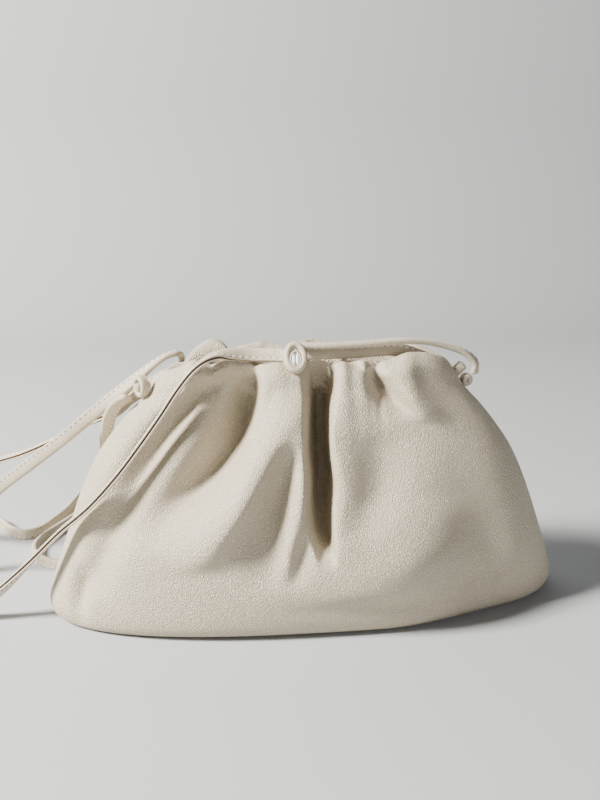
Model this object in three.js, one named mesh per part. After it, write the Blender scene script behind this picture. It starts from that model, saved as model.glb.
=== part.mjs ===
// Gathered leather pouch bag with a thin leather strap, standing on its base.
// Millimetres, +Z up. The origin is the middle of the flat base, the front looks towards -Y.
import * as THREE from "three";

// Sizes of the pouch
const POUCH_WIDE = 226;
const POUCH_DEEP = 88;
const POUCH_TALL = 110;
const WALL = 2;

// Sizes of the strap and of the leather loops at the ends of the mouth
const STRAP_WIDE = 5.5;
const STRAP_THICK = 2.6;
const STUB_DIAMETER = 4;
const STUB_TURN = 0.5;
const TAB_TALL = 4.6;
const TAB_DEEP = 4.6;
const TAB_LONG = 4;
const RING_BAND = 2.8;
const KNOT_WIDE = 10;
const KNOT_TALL = 13.8;
const KNOT_BAND = 3.2;
const KNOT_LEAN = 0.56;
const RIGHT_KNOT_WIDE = 4.8;
const RIGHT_KNOT_TALL = 5;

// Gap between pieces that touch on the real bag
const SEAT_GAP = 0.35;

// How finely the pouch and the middle knot are faceted
const COLUMNS = 112;
const ROWS_OUTSIDE = 24;
const ROWS_INSIDE = 12;
const OVAL_STEPS = 16;
const BAND_SIDES = 8;

const LEATHER = { color: 0xd9d2c6, roughness: 0.55, metalness: 0 };
const CUT_LEATHER = { color: 0xeef0ee, roughness: 0.3, metalness: 0 };

// Sections of the pouch from its base up the outside and over the rolled rim into the mouth.
// tall is a share of POUCH_TALL, wide and deep of half its width and depth, square is the power
// of the oval, folds and crest say how much of the folds and of the top line act there.
const SECTIONS = [
  { tall: 0.0, wide: 0.945, deep: 0.79, square: 2.55, folds: 0, crest: 0 },
  { tall: 0.01, wide: 0.98, deep: 0.88, square: 2.55, folds: 0, crest: 0 },
  { tall: 0.04, wide: 1.0, deep: 0.955, square: 2.45, folds: 0.2, crest: 0 },
  { tall: 0.09, wide: 1.0, deep: 0.99, square: 2.35, folds: 0.46, crest: 0 },
  { tall: 0.17, wide: 0.974, deep: 1.0, square: 2.25, folds: 0.75, crest: 0 },
  { tall: 0.27, wide: 0.938, deep: 0.985, square: 2.2, folds: 0.75, crest: 0 },
  { tall: 0.39, wide: 0.897, deep: 0.935, square: 2.2, folds: 0.75, crest: 0 },
  { tall: 0.51, wide: 0.852, deep: 0.85, square: 2.2, folds: 0.75, crest: 0 },
  { tall: 0.63, wide: 0.796, deep: 0.73, square: 2.25, folds: 0.72, crest: 0.05 },
  { tall: 0.74, wide: 0.725, deep: 0.6, square: 2.3, folds: 0.62, crest: 0.15 },
  { tall: 0.84, wide: 0.656, deep: 0.475, square: 2.35, folds: 0.46, crest: 0.4 },
  { tall: 0.91, wide: 0.603, deep: 0.395, square: 2.4, folds: 0.38, crest: 0.75 },
  { tall: 0.965, wide: 0.567, deep: 0.35, square: 2.5, folds: 0.22, crest: 1 },
  { tall: 1.0, wide: 0.53, deep: 0.24, square: 2.6, folds: 0.15, crest: 1 },
  { tall: 0.985, wide: 0.5, deep: 0.14, square: 2.6, folds: 0.06, crest: 1 },
  { tall: 0.93, wide: 0.49, deep: 0.1, square: 2.6, folds: 0.04, crest: 0.9 },
  { tall: 0.885, wide: 0.51, deep: 0.2, square: 2.5, folds: 0.14, crest: 0.6 },
];
// The outside's last section, where the rim turns over, and the inside wall's first height.
const RIM_STEP = 13;
const HIGHEST_INSIDE = 0.84;
// The walls lean, so a wall's level inset is this much more than its thickness.
const LEAN_ALLOWANCE = 1.15;
// Height of the ends of the mouth, and the place on the front rim where the middle knot lies.
const END_TALL = 0.955;
const KNOT_STEP = 12.4;
const KNOT_ANGLE = -1.625;

// Folds and gathers of the front; the back has them mirrored. Each is sharp to a power, and its
// rows give tall as a share of POUCH_TALL, across as a share of half the width from the middle,
// depth as a share of half the depth (below nought is a ridge), and how far the fold reaches to
// its left and right as shares of half the width. lean is how far, in millimetres, the bottom of
// a groove lies to the right of its mouth, so one lip hangs over it.
const FOLDS = [
  {
    name: "left sweep",
    sharp: 2,
    lean: 0,
    rows: [
      { tall: 0.981, across: -0.314, depth: 0.05, left: 0.045, right: 0.06 },
      { tall: 0.929, across: -0.383, depth: 0.16, left: 0.05, right: 0.075 },
      { tall: 0.885, across: -0.438, depth: 0.23, left: 0.055, right: 0.085 },
      { tall: 0.814, across: -0.504, depth: 0.28, left: 0.058, right: 0.1 },
      { tall: 0.721, across: -0.567, depth: 0.28, left: 0.055, right: 0.11 },
      { tall: 0.627, across: -0.623, depth: 0.25, left: 0.052, right: 0.12 },
      { tall: 0.53, across: -0.675, depth: 0.19, left: 0.05, right: 0.12 },
      { tall: 0.436, across: -0.722, depth: 0.14, left: 0.045, right: 0.12 },
      { tall: 0.348, across: -0.762, depth: 0.1, left: 0.042, right: 0.12 },
      { tall: 0.259, across: -0.803, depth: 0.075, left: 0.04, right: 0.11 },
      { tall: 0.171, across: -0.84, depth: 0.05, left: 0.035, right: 0.1 },
      { tall: 0.106, across: -0.87, depth: 0, left: 0.035, right: 0.08 },
    ],
  },
  {
    name: "left pleat",
    sharp: 1.8,
    lean: 1.8,
    rows: [
      { tall: 0.987, across: -0.213, depth: 0.2, left: 0.06, right: 0.03 },
      { tall: 0.917, across: -0.234, depth: 0.3, left: 0.08, right: 0.03 },
      { tall: 0.838, across: -0.265, depth: 0.35, left: 0.1, right: 0.032 },
      { tall: 0.764, across: -0.296, depth: 0.33, left: 0.12, right: 0.035 },
      { tall: 0.704, across: -0.33, depth: 0.26, left: 0.13, right: 0.045 },
      { tall: 0.653, across: -0.38, depth: 0.19, left: 0.12, right: 0.07 },
      { tall: 0.606, across: -0.452, depth: 0.13, left: 0.1, right: 0.09 },
      { tall: 0.562, across: -0.524, depth: 0.1, left: 0.08, right: 0.09 },
      { tall: 0.499, across: -0.583, depth: 0.05, left: 0.07, right: 0.08 },
      { tall: 0.445, across: -0.609, depth: 0, left: 0.07, right: 0.07 },
    ],
  },
  {
    name: "middle ridge",
    sharp: 2,
    lean: 0,
    rows: [
      { tall: 0.935, across: -0.052, depth: 0, left: 0.06, right: 0.05 },
      { tall: 0.828, across: -0.101, depth: -0.05, left: 0.07, right: 0.06 },
      { tall: 0.727, across: -0.167, depth: -0.1, left: 0.08, right: 0.065 },
      { tall: 0.618, across: -0.242, depth: -0.12, left: 0.08, right: 0.07 },
      { tall: 0.517, across: -0.315, depth: -0.12, left: 0.09, right: 0.075 },
      { tall: 0.419, across: -0.398, depth: -0.09, left: 0.09, right: 0.075 },
      { tall: 0.33, across: -0.47, depth: -0.04, left: 0.09, right: 0.08 },
      { tall: 0.253, across: -0.526, depth: 0, left: 0.1, right: 0.08 },
    ],
  },
  {
    name: "middle valley",
    sharp: 2,
    lean: 0,
    rows: [
      { tall: 0.743, across: -0.087, depth: 0, left: 0.05, right: 0.04 },
      { tall: 0.659, across: -0.119, depth: 0.07, left: 0.055, right: 0.04 },
      { tall: 0.57, across: -0.159, depth: 0.12, left: 0.06, right: 0.04 },
      { tall: 0.483, across: -0.196, depth: 0.14, left: 0.065, right: 0.045 },
      { tall: 0.406, across: -0.226, depth: 0.12, left: 0.07, right: 0.05 },
      { tall: 0.335, across: -0.235, depth: 0.08, left: 0.07, right: 0.05 },
      { tall: 0.253, across: -0.223, depth: 0.03, left: 0.07, right: 0.05 },
      { tall: 0.191, across: -0.218, depth: 0, left: 0.07, right: 0.05 },
    ],
  },
  {
    name: "left lip",
    sharp: 2,
    lean: 0,
    rows: [
      { tall: 0.954, across: -0.051, depth: -0.01, left: 0.05, right: 0.025 },
      { tall: 0.88, across: -0.044, depth: -0.04, left: 0.06, right: 0.025 },
      { tall: 0.775, across: -0.047, depth: -0.05, left: 0.06, right: 0.022 },
      { tall: 0.674, across: -0.047, depth: -0.04, left: 0.06, right: 0.022 },
      { tall: 0.541, across: -0.05, depth: -0.03, left: 0.05, right: 0.022 },
      { tall: 0.436, across: -0.049, depth: 0, left: 0.05, right: 0.022 },
    ],
  },
  {
    name: "centre pleat",
    sharp: 4,
    lean: 2.2,
    rows: [
      { tall: 0.979, across: 0.032, depth: 0.3, left: 0.05, right: 0.055 },
      { tall: 0.878, across: 0.023, depth: 0.38, left: 0.042, right: 0.045 },
      { tall: 0.774, across: 0.001, depth: 0.4, left: 0.03, right: 0.03 },
      { tall: 0.673, across: 0.006, depth: 0.38, left: 0.036, right: 0.038 },
      { tall: 0.572, across: 0.013, depth: 0.34, left: 0.045, right: 0.052 },
      { tall: 0.487, across: 0.003, depth: 0.28, left: 0.038, right: 0.04 },
      { tall: 0.406, across: 0.009, depth: 0.18, left: 0.032, right: 0.034 },
      { tall: 0.348, across: 0.026, depth: 0.08, left: 0.03, right: 0.025 },
      { tall: 0.295, across: 0.036, depth: 0, left: 0.03, right: 0.025 },
    ],
  },
  {
    name: "right lip",
    sharp: 2,
    lean: 0,
    rows: [
      { tall: 0.972, across: 0.12, depth: -0.03, left: 0.025, right: 0.08 },
      { tall: 0.876, across: 0.098, depth: -0.05, left: 0.028, right: 0.08 },
      { tall: 0.772, across: 0.07, depth: -0.07, left: 0.03, right: 0.09 },
      { tall: 0.67, across: 0.089, depth: -0.04, left: 0.03, right: 0.08 },
      { tall: 0.568, across: 0.109, depth: -0.02, left: 0.03, right: 0.08 },
      { tall: 0.466, across: 0.083, depth: -0.04, left: 0.03, right: 0.07 },
      { tall: 0.378, across: 0.077, depth: -0.03, left: 0.03, right: 0.07 },
      { tall: 0.286, across: 0.077, depth: 0, left: 0.03, right: 0.07 },
    ],
  },
  {
    name: "right pucker",
    sharp: 1.8,
    lean: 1.4,
    rows: [
      { tall: 0.997, across: 0.225, depth: 0.09, left: 0.045, right: 0.02 },
      { tall: 0.951, across: 0.241, depth: 0.16, left: 0.045, right: 0.022 },
      { tall: 0.903, across: 0.266, depth: 0.14, left: 0.045, right: 0.025 },
      { tall: 0.857, across: 0.297, depth: 0.08, left: 0.045, right: 0.03 },
      { tall: 0.818, across: 0.329, depth: 0.04, left: 0.045, right: 0.04 },
      { tall: 0.78, across: 0.364, depth: 0, left: 0.04, right: 0.05 },
    ],
  },
  {
    name: "right ridge",
    sharp: 2,
    lean: 0,
    rows: [
      { tall: 0.999, across: 0.279, depth: -0.03, left: 0.03, right: 0.06 },
      { tall: 0.943, across: 0.316, depth: -0.06, left: 0.035, right: 0.065 },
      { tall: 0.874, across: 0.355, depth: -0.07, left: 0.04, right: 0.07 },
      { tall: 0.816, across: 0.397, depth: -0.05, left: 0.05, right: 0.08 },
      { tall: 0.76, across: 0.447, depth: 0, left: 0.05, right: 0.08 },
    ],
  },
  {
    name: "right side valley",
    sharp: 2,
    lean: 0,
    rows: [
      { tall: 0.779, across: 0.514, depth: 0, left: 0.1, right: 0.1 },
      { tall: 0.599, across: 0.563, depth: 0.04, left: 0.12, right: 0.12 },
      { tall: 0.442, across: 0.608, depth: 0.07, left: 0.13, right: 0.12 },
      { tall: 0.303, across: 0.641, depth: 0.09, left: 0.13, right: 0.1 },
      { tall: 0.188, across: 0.636, depth: 0.08, left: 0.12, right: 0.09 },
      { tall: 0.113, across: 0.613, depth: 0.05, left: 0.1, right: 0.08 },
    ],
  },
  {
    name: "low belly",
    sharp: 2,
    lean: 0,
    rows: [
      { tall: 0.538, across: 0.302, depth: 0, left: 0.3, right: 0.25 },
      { tall: 0.416, across: 0.297, depth: -0.04, left: 0.32, right: 0.25 },
      { tall: 0.308, across: 0.277, depth: -0.08, left: 0.34, right: 0.24 },
      { tall: 0.194, across: 0.258, depth: -0.06, left: 0.34, right: 0.22 },
      { tall: 0.106, across: 0.244, depth: 0, left: 0.34, right: 0.2 },
    ],
  },
];

// Top line of the mouth: how far the front and back rims rise or drop along it.
// across is a share of half the width, front and back are shares of POUCH_TALL.
const CREST = [
  { across: -0.64, front: -0.075, back: -0.075 },
  { across: -0.54, front: -0.045, back: -0.045 },
  { across: -0.47, front: -0.018, back: -0.015 },
  { across: -0.41, front: 0.002, back: 0.01 },
  { across: -0.33, front: 0, back: 0.035 },
  { across: -0.2, front: -0.01, back: 0.02 },
  { across: 0.0, front: -0.012, back: 0.03 },
  { across: 0.2, front: -0.012, back: 0.025 },
  { across: 0.3, front: -0.005, back: 0.01 },
  { across: 0.38, front: 0.015, back: 0.015 },
  { across: 0.45, front: 0.014, back: 0.012 },
  { across: 0.54, front: -0.025, back: -0.025 },
  { across: 0.64, front: -0.06, back: -0.06 },
];

// Route of the long strap, chosen by hand: x, y, z of its middle, then the way its face looks.
// From the middle knot it runs left in the mouth, on edge down the left front, turns on the table,
// comes back over the left shoulder, turns in a hairpin, drops behind to the table, turns twice
// there and climbs to the ring at the left end of the mouth.
const LONG_STRAP = [
  [-6.9, -9.6, 112.3, 0, -0.93, 0.36],
  [-14, -6.8, 112.4, 0, -0.93, 0.36],
  [-24, -5.2, 112.4, 0, -0.9, 0.43],
  [-33, -7.2, 113.2, -0.05, -0.72, 0.7],
  [-40, -11, 113, -0.33, -0.12, 0.94],
  [-46.8, -14.4, 109.2, -0.64, 0.16, 0.75],
  [-54, -15.7, 101.1, -0.79, 0.13, 0.6],
  [-61, -17.7, 91.2, -0.81, 0.12, 0.57],
  [-69.9, -20, 79.3, -0.8, 0.13, 0.59],
  [-79.6, -20.9, 66.9, -0.76, 0.15, 0.63],
  [-91.1, -20.4, 54.1, -0.68, 0.19, 0.71],
  [-104.2, -15.9, 41.8, -0.66, 0.22, 0.71],
  [-118.6, -13.5, 27.2, -0.66, 0.25, 0.7],
  [-132.3, -12.2, 13.6, -0.55, 0.62, 0.55],
  [-143, -10.8, 5.8, -0.4, 0.5, 0.77],
  [-154, -8, 3.5, -0.25, 0.75, 0.6],
  [-164, -3.5, 3.1, -0.4, 0.9, 0.15],
  [-172, 3.5, 2.9, -0.75, 0.65, 0],
  [-176.5, 12.5, 2.9, -0.98, 0.2, 0],
  [-176.3, 22.5, 4.6, -0.97, -0.25, 0.1],
  [-171, 29.3, 11, -0.6, -0.7, 0.35],
  [-162, 30.8, 21.5, -0.2, -0.9, 0.35],
  [-150, 27, 34.8, 0.05, -0.95, 0.3],
  [-136.4, 22, 47.9, 0.1, -0.95, 0.28],
  [-121, 15.5, 60.6, 0.1, -0.95, 0.28],
  [-104.8, 11, 73.6, 0.1, -0.95, 0.28],
  [-93.3, 11.5, 82.8, 0.1, -0.95, 0.28],
  [-83.4, 9.5, 91, -0.1, -0.88, 0.46],
  [-75.2, 8.5, 97.6, -0.3, -0.68, 0.66],
  [-69.9, 8, 102, -0.45, -0.42, 0.78],
  [-65.5, 7.5, 105.7, -0.55, -0.2, 0.8],
  [-61.2, 7.5, 108.7, -0.5, 0, 0.86],
  [-57.8, 8, 110.2, -0.3, 0.05, 0.95],
  [-54.9, 9, 110.6, 0.1, 0.05, 0.99],
  [-53.6, 11.2, 109.1, 0.75, 0.05, 0.65],
  [-53.4, 13.6, 106.2, 0.95, 0.1, -0.2],
  [-54.7, 15.6, 103.3, 0.7, 0.15, -0.7],
  [-57.1, 16.2, 101.2, 0.5, 0.3, -0.8],
  [-60.7, 16, 99.1, 0.45, 0.6, -0.65],
  [-65.1, 16.2, 96.3, 0.3, 0.85, -0.4],
  [-70.9, 16.6, 92.2, 0.1, 0.95, 0.1],
  [-76.6, 17, 88.4, -0.1, 0.85, 0.5],
  [-83, 17.2, 82.4, -0.15, 0.55, 0.82],
  [-90, 18.6, 79.6, -0.2, 0.3, 0.93],
  [-97.8, 21, 76.2, -0.3, 0.2, 0.93],
  [-106.8, 25, 70.6, -0.35, 0.2, 0.91],
  [-118.4, 32, 63.6, -0.35, 0.15, 0.92],
  [-129.6, 38.5, 57.8, -0.35, 0.1, 0.93],
  [-140.8, 45, 53, -0.33, 0, 0.94],
  [-152, 49.5, 47, -0.35, -0.1, 0.93],
  [-164, 55, 39, -0.5, -0.3, 0.8],
  [-174, 63, 28.5, -0.65, -0.35, 0.64],
  [-180, 73, 17.5, -0.85, -0.2, 0.45],
  [-181.5, 84, 8.5, -0.98, -0.05, 0.2],
  [-178, 94, 3.7, -0.9, 0.42, 0.05],
  [-170, 98.5, 2.9, -0.1, 0.99, 0],
  [-161.5, 96.5, 2.9, 0.45, 0.88, 0],
  [-154.6, 90.6, 2.9, 0.7, 0.7, 0],
  [-147, 78.8, 2.9, 0.75, 0.62, 0],
  [-138.5, 72, 2.9, 0.1, 0.98, 0],
  [-131, 76.5, 2.9, -0.7, 0.7, 0],
  [-125.8, 88, 2.9, -0.9, 0.4, 0],
  [-121, 102, 2.9, -0.95, 0.3, 0],
  [-118.6, 114, 2.9, -0.99, 0.15, 0],
  [-116.4, 123.5, 2.9, -0.85, 0.5, 0],
  [-111.5, 127.5, 2.9, -0.1, 0.98, 0],
  [-107, 123.5, 2.9, 0.95, 0.3, 0],
  [-107.6, 114, 2.9, 0.95, -0.25, 0],
  [-112, 101, 2.9, 0.93, -0.36, 0],
  [-118, 87, 2.9, 0.92, -0.38, 0],
  [-124, 75, 2.9, 0.92, -0.38, 0],
  [-128.6, 64.5, 2.9, 0.95, -0.3, 0],
  [-130.2, 54, 2.9, 1, 0.05, 0],
  [-127, 43.5, 2.9, 0.85, 0.5, 0],
  [-120.2, 36.5, 2.9, 0.5, 0.85, 0],
  [-112.4, 33.6, 2.9, 0.2, 0.98, 0],
  [-105, 34.2, 4.6, -0.1, 0.99, 0],
  [-99.6, 33.6, 12, -0.05, 0.99, 0.1],
  [-96.2, 30.6, 24, 0, 0.97, 0.2],
  [-93, 26.2, 38, 0, 0.95, 0.3],
  [-89.8, 21, 52, 0, 0.95, 0.3],
  [-88.2, 17, 66, -0.05, 0.94, 0.34],
  [-86.2, 10.8, 78, -0.15, 0.9, 0.4],
  [-83.2, 4.4, 86.8, -0.2, 0.85, 0.45],
  [-79.6, 0.2, 92, -0.3, 0.8, 0.5],
  [-75.4, -2, 94.6, -0.45, 0.7, 0.55],
];

// The two short runs of strap to the right of the middle knot: one goes over the rim to the right
// knot, the other lies in the mouth and drops into it.
const UPPER_STRAP = [
  [-4.2, -5.95, 116.2, 0, 0.1, 0.99],
  [4, -7.2, 115.9, 0, 0.1, 0.99],
  [15, -7.2, 116.1, -0.03, 0.1, 0.99],
  [27, -6.8, 116.5, -0.03, 0.1, 0.99],
  [39, -5.4, 116.8, 0, 0.1, 0.99],
  [50.5, -3.2, 115.7, 0.2, 0.1, 0.97],
  [61, -1.6, 113.0, 0.45, 0, 0.89],
  [68.6, -1, 109.8, 0.7, -0.15, 0.7],
  [73.0, -0.8, 105.2, 0.85, -0.45, 0.25],
  [72.8, -0.6, 100.9, 0.8, -0.6, 0],
];
const LOWER_STRAP = [
  [-4.8, -3.8, 111.9, 0, -0.93, 0.36],
  [6, -3.4, 112.0, 0, -0.93, 0.36],
  [20, -3.2, 112.1, 0, -0.93, 0.36],
  [34, -2.4, 112.6, 0, -0.93, 0.36],
  [41.5, -1.2, 111.6, 0, -0.97, 0.2],
  [47, -0.3, 109.6, 0, -1, 0.1],
  [52, 0, 107.6, 0, -1, 0],
];

const half = {
  wide: POUCH_WIDE / 2,
  deep: POUCH_DEEP / 2,
};

// Smooth value of a table's column at a height or place between its rows.
function along(table, key, column, at, levelEnds = false) {
  const last = table.length - 1;
  const rising = table[last][key] > table[0][key];
  const row = (i) => (rising ? table[i] : table[last - i]);
  const t = Math.min(Math.max(at, row(0)[key]), row(last)[key]);
  let i = 0;
  while (i < last - 1 && row(i + 1)[key] <= t) i += 1;
  const slope = (k) => {
    if (levelEnds && (k === 0 || k === last)) return 0;
    const a = row(Math.max(k - 1, 0));
    const b = row(Math.min(k + 1, last));
    return (b[column] - a[column]) / (b[key] - a[key]);
  };
  const span = row(i + 1)[key] - row(i)[key];
  const s = (t - row(i)[key]) / span;
  return (
    (2 * s ** 3 - 3 * s ** 2 + 1) * row(i)[column] +
    (s ** 3 - 2 * s ** 2 + s) * span * slope(i) +
    (3 * s ** 2 - 2 * s ** 3) * row(i + 1)[column] +
    (s ** 3 - s ** 2) * span * slope(i + 1)
  );
}

function smoothStep(low, high, value) {
  const t = Math.min(Math.max((value - low) / (high - low), 0), 1);
  return t * t * (3 - 2 * t);
}

// The sections as one smooth profile; step counts rows from the base.
const PROFILE = SECTIONS.map((row, step) => ({ ...row, step }));
function sectionAtStep(step) {
  const section = {};
  for (const column of ["tall", "wide", "deep", "square", "folds", "crest"]) {
    section[column] = along(PROFILE, "step", column, step);
  }
  return section;
}

// The outside wall's step at a height, found by halving.
function stepAtHeight(tall) {
  let low = 0;
  let high = RIM_STEP;
  for (let i = 0; i < 30; i += 1) {
    const middle = (low + high) / 2;
    if (along(PROFILE, "step", "tall", middle) < tall) low = middle;
    else high = middle;
  }
  return low;
}

// Depth of all the folds at a place on the front, and how far their bottoms lean to the right, in
// millimetres; a groove seen from the inside is wider by the wall on each side.
function foldRelief(x, tall, inside) {
  let depth = 0;
  let slant = 0;
  for (const fold of FOLDS) {
    const at = (column) => along(fold.rows, "tall", column, tall, column === "depth");
    const deep = at("depth");
    const deepest = Math.max(...fold.rows.map((row) => Math.abs(row.depth)));
    const more = inside && deep > 0 ? WALL / half.wide : 0;
    const off = x / half.wide - at("across");
    const reach = (off < 0 ? at("left") : at("right")) + more;
    const share = Math.exp(-(Math.abs(off / reach) ** fold.sharp));
    depth += deep * share * half.deep;
    slant += (fold.lean * share * deep) / deepest;
  }
  return { depth, slant };
}

// A point of the pouch on one section, at an angle round it from +X.
function pouchPoint(section, angle, inset = 0) {
  const wide = section.wide * half.wide - inset;
  const deep = section.deep * half.deep - inset;
  const power = (value) => Math.sign(value) * Math.abs(value) ** (2 / section.square);
  const x = wide * power(Math.cos(angle));
  const y = deep * power(Math.sin(angle));
  const out = new THREE.Vector2(
    (Math.sign(x) * Math.abs(x / wide) ** (section.square - 1)) / wide,
    (Math.sign(y) * Math.abs(y / deep) ** (section.square - 1)) / deep,
  ).normalize();
  const facing = smoothStep(0, 0.55, Math.abs(y) / deep);
  const across = y < 0 ? x : -x;
  const relief = foldRelief(across, section.tall, inset > 0);
  const depth = relief.depth * facing * section.folds;
  const slant = relief.slant * facing * section.folds;
  const rearward = smoothStep(-0.6, 0.6, y / deep);
  const share = x / half.wide;
  const rise =
    along(CREST, "across", "front", share) * (1 - rearward) +
    along(CREST, "across", "back", share) * rearward;
  const z = (section.tall + rise * section.crest) * POUCH_TALL;
  return new THREE.Vector3(
    x - out.x * depth - out.y * slant,
    y - out.y * depth + out.x * slant,
    z,
  );
}

// Angles that spread the columns evenly along an oval like the pouch's at half its height.
function evenAngles(count) {
  const deep = sectionAtStep(stepAtHeight(0.5)).deep * half.deep;
  const oval = new THREE.EllipseCurve(0, 0, half.wide, deep);
  return Array.from({ length: count }, (_, i) => {
    const point = oval.getPointAt(i / count);
    return Math.atan2(point.y / deep, point.x / half.wide);
  });
}

// A closed body through rings of points that run from one end cap to the other.
function loftRings(rings, first, last) {
  const count = rings[0].length;
  const points = [first, ...rings.flat(), last];
  const index = [];
  const at = (ring, i) => 1 + ring * count + (i % count);
  for (let i = 0; i < count; i += 1) {
    index.push(0, at(0, i + 1), at(0, i));
    for (let ring = 0; ring < rings.length - 1; ring += 1) {
      index.push(at(ring, i), at(ring, i + 1), at(ring + 1, i + 1));
      index.push(at(ring, i), at(ring + 1, i + 1), at(ring + 1, i));
    }
    index.push(points.length - 1, at(rings.length - 1, i), at(rings.length - 1, i + 1));
  }
  const geometry = new THREE.BufferGeometry().setFromPoints(points);
  geometry.setIndex(index);
  geometry.computeVertexNormals();
  return geometry;
}

// The pouch: a leather cup with a flat base, gathered walls and a rolled rim round the mouth.
function makePouch() {
  const angles = evenAngles(COLUMNS);
  const rings = [];
  const lastStep = SECTIONS.length - 1;
  for (let i = 0; i <= ROWS_OUTSIDE; i += 1) {
    const section = sectionAtStep((RIM_STEP * i) / ROWS_OUTSIDE);
    rings.push(angles.map((angle) => pouchPoint(section, angle)));
  }
  for (let step = RIM_STEP + 0.5; step <= lastStep; step += step < RIM_STEP + 1 ? 0.5 : 1) {
    const section = sectionAtStep(step);
    rings.push(angles.map((angle) => pouchPoint(section, angle)));
  }
  const lowest = WALL / POUCH_TALL;
  for (let i = 0; i <= ROWS_INSIDE; i += 1) {
    const share = (i / ROWS_INSIDE) ** 0.8;
    const tall = HIGHEST_INSIDE + (lowest - HIGHEST_INSIDE) * share;
    const section = sectionAtStep(stepAtHeight(tall));
    section.tall = tall;
    rings.push(angles.map((angle) => pouchPoint(section, angle, WALL * LEAN_ALLOWANCE)));
  }
  const base = new THREE.Vector3(0, 0, 0);
  const floor = new THREE.Vector3(0, 0, WALL);
  return loftRings(rings, base, floor);
}

// A path that stops at the chosen points and keeps the strap's broad face the chosen way.
class StrapPath extends THREE.Curve {
  constructor(rows) {
    super();
    this.points = rows.map(([x, y, z]) => new THREE.Vector3(x, y, z));
    this.faces = rows.map(([, , , x, y, z]) => new THREE.Vector3(x, y, z));
  }

  getSpacedPoints() {
    return this.points;
  }

  computeFrenetFrames() {
    const last = this.points.length - 1;
    const tangents = this.points.map((_, i) =>
      this.points[Math.min(i + 1, last)].clone().sub(this.points[Math.max(i - 1, 0)]).normalize(),
    );
    const normals = this.faces.map((face, i) => face.clone().cross(tangents[i]).normalize());
    const binormals = tangents.map((tangent, i) => tangent.clone().cross(normals[i]));
    return { tangents, normals, binormals };
  }
}

// The strap's section: flat, with its four long edges rounded off.
function strapSection() {
  const x = STRAP_WIDE / 2;
  const y = STRAP_THICK / 2;
  const cut = STRAP_THICK / 4;
  const corners = [
    [x - cut, -y], [x, cut - y], [x, y - cut], [x - cut, y],
    [cut - x, y], [-x, y - cut], [-x, cut - y], [cut - x, -y],
  ];
  return new THREE.Shape(corners.map(([a, b]) => new THREE.Vector2(a, b)));
}

function makeStrap(rows) {
  const extrudePath = new StrapPath(rows);
  return new THREE.ExtrudeGeometry(strapSection(), {
    extrudePath,
    steps: rows.length - 1,
    bevelEnabled: false,
  });
}

function addMesh(group, name, geometry, look) {
  const mesh = new THREE.Mesh(geometry, new THREE.MeshStandardMaterial({ ...look, name }));
  mesh.name = name;
  group.add(mesh);
  return mesh;
}

// An oval band of round section, in the XZ plane, closed on itself.
function makeOvalBand(wide, tall, band) {
  const oval = new THREE.EllipseCurve(0, 0, (wide - band) / 2, (tall - band) / 2);
  const points = [];
  const index = [];
  const at = (ring, i) => (ring % OVAL_STEPS) * BAND_SIDES + (i % BAND_SIDES);
  for (let ring = 0; ring < OVAL_STEPS; ring += 1) {
    const middle = oval.getPoint(ring / OVAL_STEPS);
    const way = oval.getTangent(ring / OVAL_STEPS);
    for (let i = 0; i < BAND_SIDES; i += 1) {
      const angle = (2 * Math.PI * i) / BAND_SIDES;
      const out = (Math.cos(angle) * band) / 2;
      const forward = (Math.sin(angle) * band) / 2;
      points.push(new THREE.Vector3(middle.x + way.y * out, forward, middle.y - way.x * out));
      index.push(at(ring, i), at(ring, i + 1), at(ring + 1, i + 1));
      index.push(at(ring, i), at(ring + 1, i + 1), at(ring + 1, i));
    }
  }
  const geometry = new THREE.BufferGeometry().setFromPoints(points);
  geometry.setIndex(index);
  geometry.computeVertexNormals();
  return geometry;
}

// How far the pouch's ends stand out, this much lower than the ends of the mouth
function endReach(drop) {
  const section = sectionAtStep(stepAtHeight(END_TALL - drop / POUCH_TALL));
  return pouchPoint(section, 0).x;
}

const bag = new THREE.Group();

addMesh(bag, "pouch_body", makePouch(), LEATHER);
const endSection = sectionAtStep(stepAtHeight(END_TALL));

// Left end of the mouth: a round leather stub turned to the front, with the strap's ring round it
const ringRadius = (STUB_DIAMETER + RING_BAND) / 2 + SEAT_GAP;
const ringOut = endReach(ringRadius + RING_BAND / 2) + RING_BAND / 2 + 2 * SEAT_GAP;
const stubStart = endReach(STUB_DIAMETER / 2) + 2 * SEAT_GAP;
const stubLong = ringOut + RING_BAND / 4 - stubStart;
const stubPlace = new THREE.Group();
stubPlace.position.set(-stubStart, 0, pouchPoint(endSection, Math.PI).z);
stubPlace.rotation.z = STUB_TURN;
bag.add(stubPlace);
const stub = addMesh(
  stubPlace,
  "side_loop_left",
  new THREE.CylinderGeometry(STUB_DIAMETER / 2, STUB_DIAMETER / 2, stubLong, 12),
  LEATHER,
);
stub.rotation.z = Math.PI / 2;
stub.position.x = -stubLong / 2;
const leftRing = addMesh(
  stubPlace,
  "strap_ring_left",
  new THREE.TorusGeometry(ringRadius, RING_BAND / 2, 8, 16),
  LEATHER,
);
leftRing.rotation.y = Math.PI / 2;
leftRing.position.x = stubStart - ringOut;

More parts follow.
